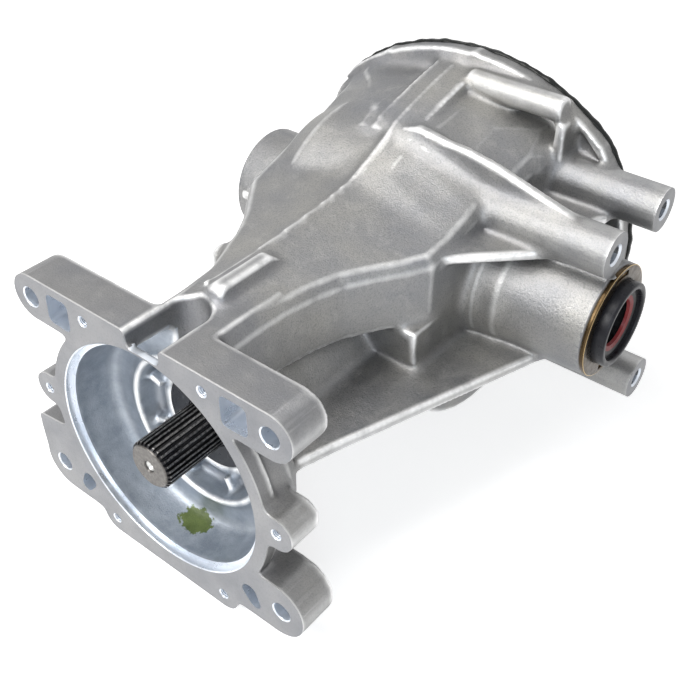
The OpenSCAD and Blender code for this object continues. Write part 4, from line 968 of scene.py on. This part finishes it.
def sealant_bead(step=1.3, sides=12):
    """Sealant pressed out of the rear joint, thicker here and there, but no higher than the CAD model."""
    x, z, out = evenly(outer_edge("cover_sealant", REAR_Y), step)
    n = len(x)
    swell, shift = wobbles(n)
    high, wide = 1.3 + 0.35 * swell, 2.5 + 0.30 * shift
    middle, sunk, top = REAR_Y + 2.2, 0.1, cad_high.z / MM - 0.05
    points = []
    for i in range(n):
        for k in range(sides):
            a = 2 * math.pi * k / sides
            reach = high[i] * math.cos(a) - sunk
            up = min(z[i] + out[i, 1] * reach, top)
            points.append((x[i] + out[i, 0] * reach, middle + wide[i] * math.sin(a), up))
    faces = [(i * sides + k, i * sides + (k + 1) % sides, (i + 1) % n * sides + (k + 1) % sides,
              (i + 1) % n * sides + k) for i in range(n) for k in range(sides)]
    placed(joined("sealant_bead", [solid(points, faces)]), SLOTS["sealant"])


tap_threads()
sealant_bead()

# The studio, in metres: the floor's half width and its gap below the part
FLOOR_HALF, FLOOR_GAP = 4.0, 0.0005
FLOOR_GREY, FLOOR_GLOW, SKY_LIGHT = (0.86, 0.86, 0.86, 1), 0.66, 0.25
WHITE = (1, 1, 1, 1)
# Name, place, size, power and colour of each lamp; all point at the middle of the part
MIDDLE = (0.0, 0.17, 0.03)
LAMPS = [("key", (-0.26, -0.80, 0.76), 0.7, 10.5, (1.0, 0.995, 0.985)),
         ("top", (-0.22, -0.10, 1.15), 0.7, 8.0, (1.0, 0.98, 0.95)),
         ("side", (1.0, -0.75, 0.55), 0.8, 5.5, (0.84, 0.92, 1.0))]
# The camera at the photograph's viewing angle
SENSOR, LENS, CLIP_START, CLIP_END = 36, 52.613, 0.01, 20
CAMERA_AT = (0.379653, -0.288005, 0.468607)
CAMERA_TURN = ((0.780997, -0.394785, 0.483931), (0.624437, 0.479902, -0.616257),
               (0.011050, 0.783479, 0.621320))


def seen(tree):
    """1 for rays that show the background: from the camera, off metal and through glass."""
    path = tree.nodes.new("ShaderNodeLightPath")
    straight = math2(tree, "MAXIMUM", path.outputs["Is Camera Ray"], path.outputs["Is Glossy Ray"])
    return math2(tree, "MAXIMUM", straight, path.outputs["Is Transmission Ray"])


def floor():
    h = FLOOR_HALF
    mesh = bpy.data.meshes.new("floor")
    mesh.from_pydata([(-h, -h, 0), (h, -h, 0), (h, h, 0), (-h, h, 0)], [], [(0, 1, 2, 3)])
    obj = shown("floor", mesh)
    obj.location.z = cad_low.z - FLOOR_GAP
    m, t, s = material("floor")
    s.inputs["Base Color"].default_value = FLOOR_GREY
    s.inputs["Roughness"].default_value = 0.9
    s.inputs["Specular IOR Level"].default_value = 0.1
    s.inputs["Emission Color"].default_value = WHITE
    t.links.new(both(t, seen(t), FLOOR_GLOW), s.inputs["Emission Strength"])
    mesh.materials.append(m)


def sky():
    world = bpy.data.worlds.new("studio")
    bpy.context.scene.world = world
    world.use_nodes = True
    t = world.node_tree
    back = t.nodes["Background"]
    back.inputs["Color"].default_value = WHITE
    t.links.new(ramp(t, seen(t), 0, 1, SKY_LIGHT, 1.0), back.inputs["Strength"])


def lamp(name, place, size, power, colour):
    data = bpy.data.lights.new(name, "AREA")
    data.shape, data.size, data.energy, data.color = "DISK", size, power, colour
    obj = shown(name, data)
    obj.location = place
    obj.rotation_euler = (Vector(MIDDLE) - Vector(place)).to_track_quat("-Z", "Y").to_euler()


def camera():
    data = bpy.data.cameras.new("camera")
    data.sensor_width, data.lens = SENSOR, LENS
    data.clip_start, data.clip_end = CLIP_START, CLIP_END
    obj = shown("camera", data)
    obj.matrix_world = Matrix.Translation(CAMERA_AT) @ Matrix(CAMERA_TURN).to_4x4()
    bpy.context.scene.camera = obj


floor()
sky()
for row in LAMPS:
    lamp(*row)
camera()
bpy.context.scene.view_settings.view_transform = "Standard"
